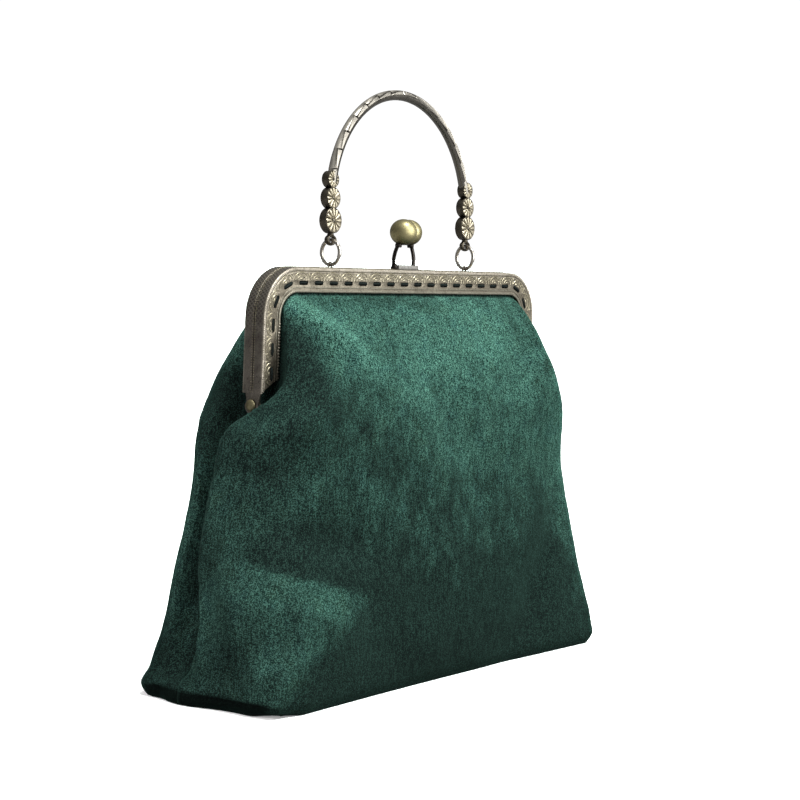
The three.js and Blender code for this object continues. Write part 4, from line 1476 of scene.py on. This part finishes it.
for reach in (0.01, 500, 2000, 8000, 40000):
    turns = [2 * math.pi * k / 64 for k in range(64)]
    floorRings.append([Vector((reach * math.cos(t), reach * math.sin(t), 0)) for t in turns])
floor = addPiece("floor", [skin(floorRings, True, False)], floorMaterial, 80, False)

# A white backdrop to the eye; for the bag the room is bright towards the window and dim elsewhere
world = bpy.data.worlds.new("studio")
scene.world = world
world.use_nodes = True
worldNodes = world.node_tree.nodes
worldLinks = world.node_tree.links
worldWay = worldNodes.new("ShaderNodeVectorMath")
worldWay.operation = "DOT_PRODUCT"
worldWay.inputs[1].default_value = lightLook["toSun"]
worldLinks.new(worldNodes.new("ShaderNodeTexCoord").outputs["Generated"], worldWay.inputs[0])
worldShare = rampNode(worldNodes, worldLinks, worldWay.outputs["Value"], -0.1, 0.95)
worldGlow = mixColour(worldNodes, worldLinks, worldShare, stageLook["dim"], stageLook["bright"])
worldPath = worldNodes.new("ShaderNodeLightPath")
white = (*[stageLook["backdrop"]] * 3, 1)
worldColour = mixColour(worldNodes, worldLinks, worldPath.outputs["Is Camera Ray"], worldGlow, white)
worldLinks.new(worldColour, worldNodes["Background"].inputs["Color"])
worldNodes["Background"].inputs["Strength"].default_value = 1.0


def sunLight(name, towards, power, angle):
    data = bpy.data.lights.new(name, "SUN")
    data.energy = power
    data.angle = math.radians(angle)
    lamp = bpy.data.objects.new(name, data)
    lamp.rotation_euler = (-Vector(towards)).to_track_quat("-Z", "Y").to_euler()
    scene.collection.objects.link(lamp)
    return lamp


def areaLight(name, place, target, size, power):
    data = bpy.data.lights.new(name, "AREA")
    data.shape = "RECTANGLE"
    data.size = size[0]
    data.size_y = size[1]
    data.energy = power
    lamp = bpy.data.objects.new(name, data)
    lamp.location = place
    lamp.rotation_euler = (Vector(target) - Vector(place)).to_track_quat("-Z", "Y").to_euler()
    scene.collection.objects.link(lamp)
    return lamp


# The cloth is lit by a soft sun and a fill from the left, and the metal mirrors a window and a weak glint
keyLight = sunLight("keyLight", lightLook["toSun"], lightLook["sunPower"], lightLook["sunAngle"])
keyLight.visible_glossy = False
leftFill = areaLight("leftFill", lightLook["fillPlace"], lightLook["fillTarget"], lightLook["fillSize"],
                     lightLook["fillPower"])
leftFill.data.color = lightLook["fillColour"]
leftFill.visible_glossy = False
glint = sunLight("glint", lightLook["toGlint"], lightLook["glintPower"], lightLook["glintAngle"])
glint.visible_diffuse = False
window = areaLight("window", lightLook["windowPlace"], lightLook["windowTarget"], lightLook["windowSize"],
                   lightLook["windowPower"])
window.visible_diffuse = False

# Camera fitted to the photo: angles in degrees, lengths in millimetres, focal length in its pixels
cameraFit = {
    "azimuth": 53.03, "distance": 878.69, "height": 188.77, "heading": 0.06, "pitch": 4.37, "roll": 2.34,
    "focal": 1951.08, "photo": 800, "sensor": 36,
}
azimuth = math.radians(cameraFit["azimuth"])
heading = math.radians(cameraFit["azimuth"] + cameraFit["heading"])
pitch = math.radians(cameraFit["pitch"])
roll = math.radians(cameraFit["roll"])
forward = Vector((math.sin(heading) * math.cos(pitch), math.cos(heading) * math.cos(pitch), -math.sin(pitch)))
right = forward.cross(Vector((0, 0, 1))).normalized()
up = right.cross(forward)
rolledRight = right * math.cos(roll) + up * math.sin(roll)
rolledUp = up * math.cos(roll) - right * math.sin(roll)
cameraData = bpy.data.cameras.new("camera")
cameraData.sensor_width = cameraFit["sensor"]
cameraData.lens = cameraFit["sensor"] * cameraFit["focal"] / cameraFit["photo"]
cameraData.clip_start = 0.01
camera = bpy.data.objects.new("camera", cameraData)
turn = Matrix((rolledRight, rolledUp, -forward)).transposed().to_4x4()
spot = Vector((-math.sin(azimuth) * cameraFit["distance"], -math.cos(azimuth) * cameraFit["distance"],
               cameraFit["height"])) * mm
camera.matrix_world = Matrix.Translation(spot) @ turn
scene.collection.objects.link(camera)
scene.camera = camera
scene.view_settings.view_transform = "Standard"
print("stage made")
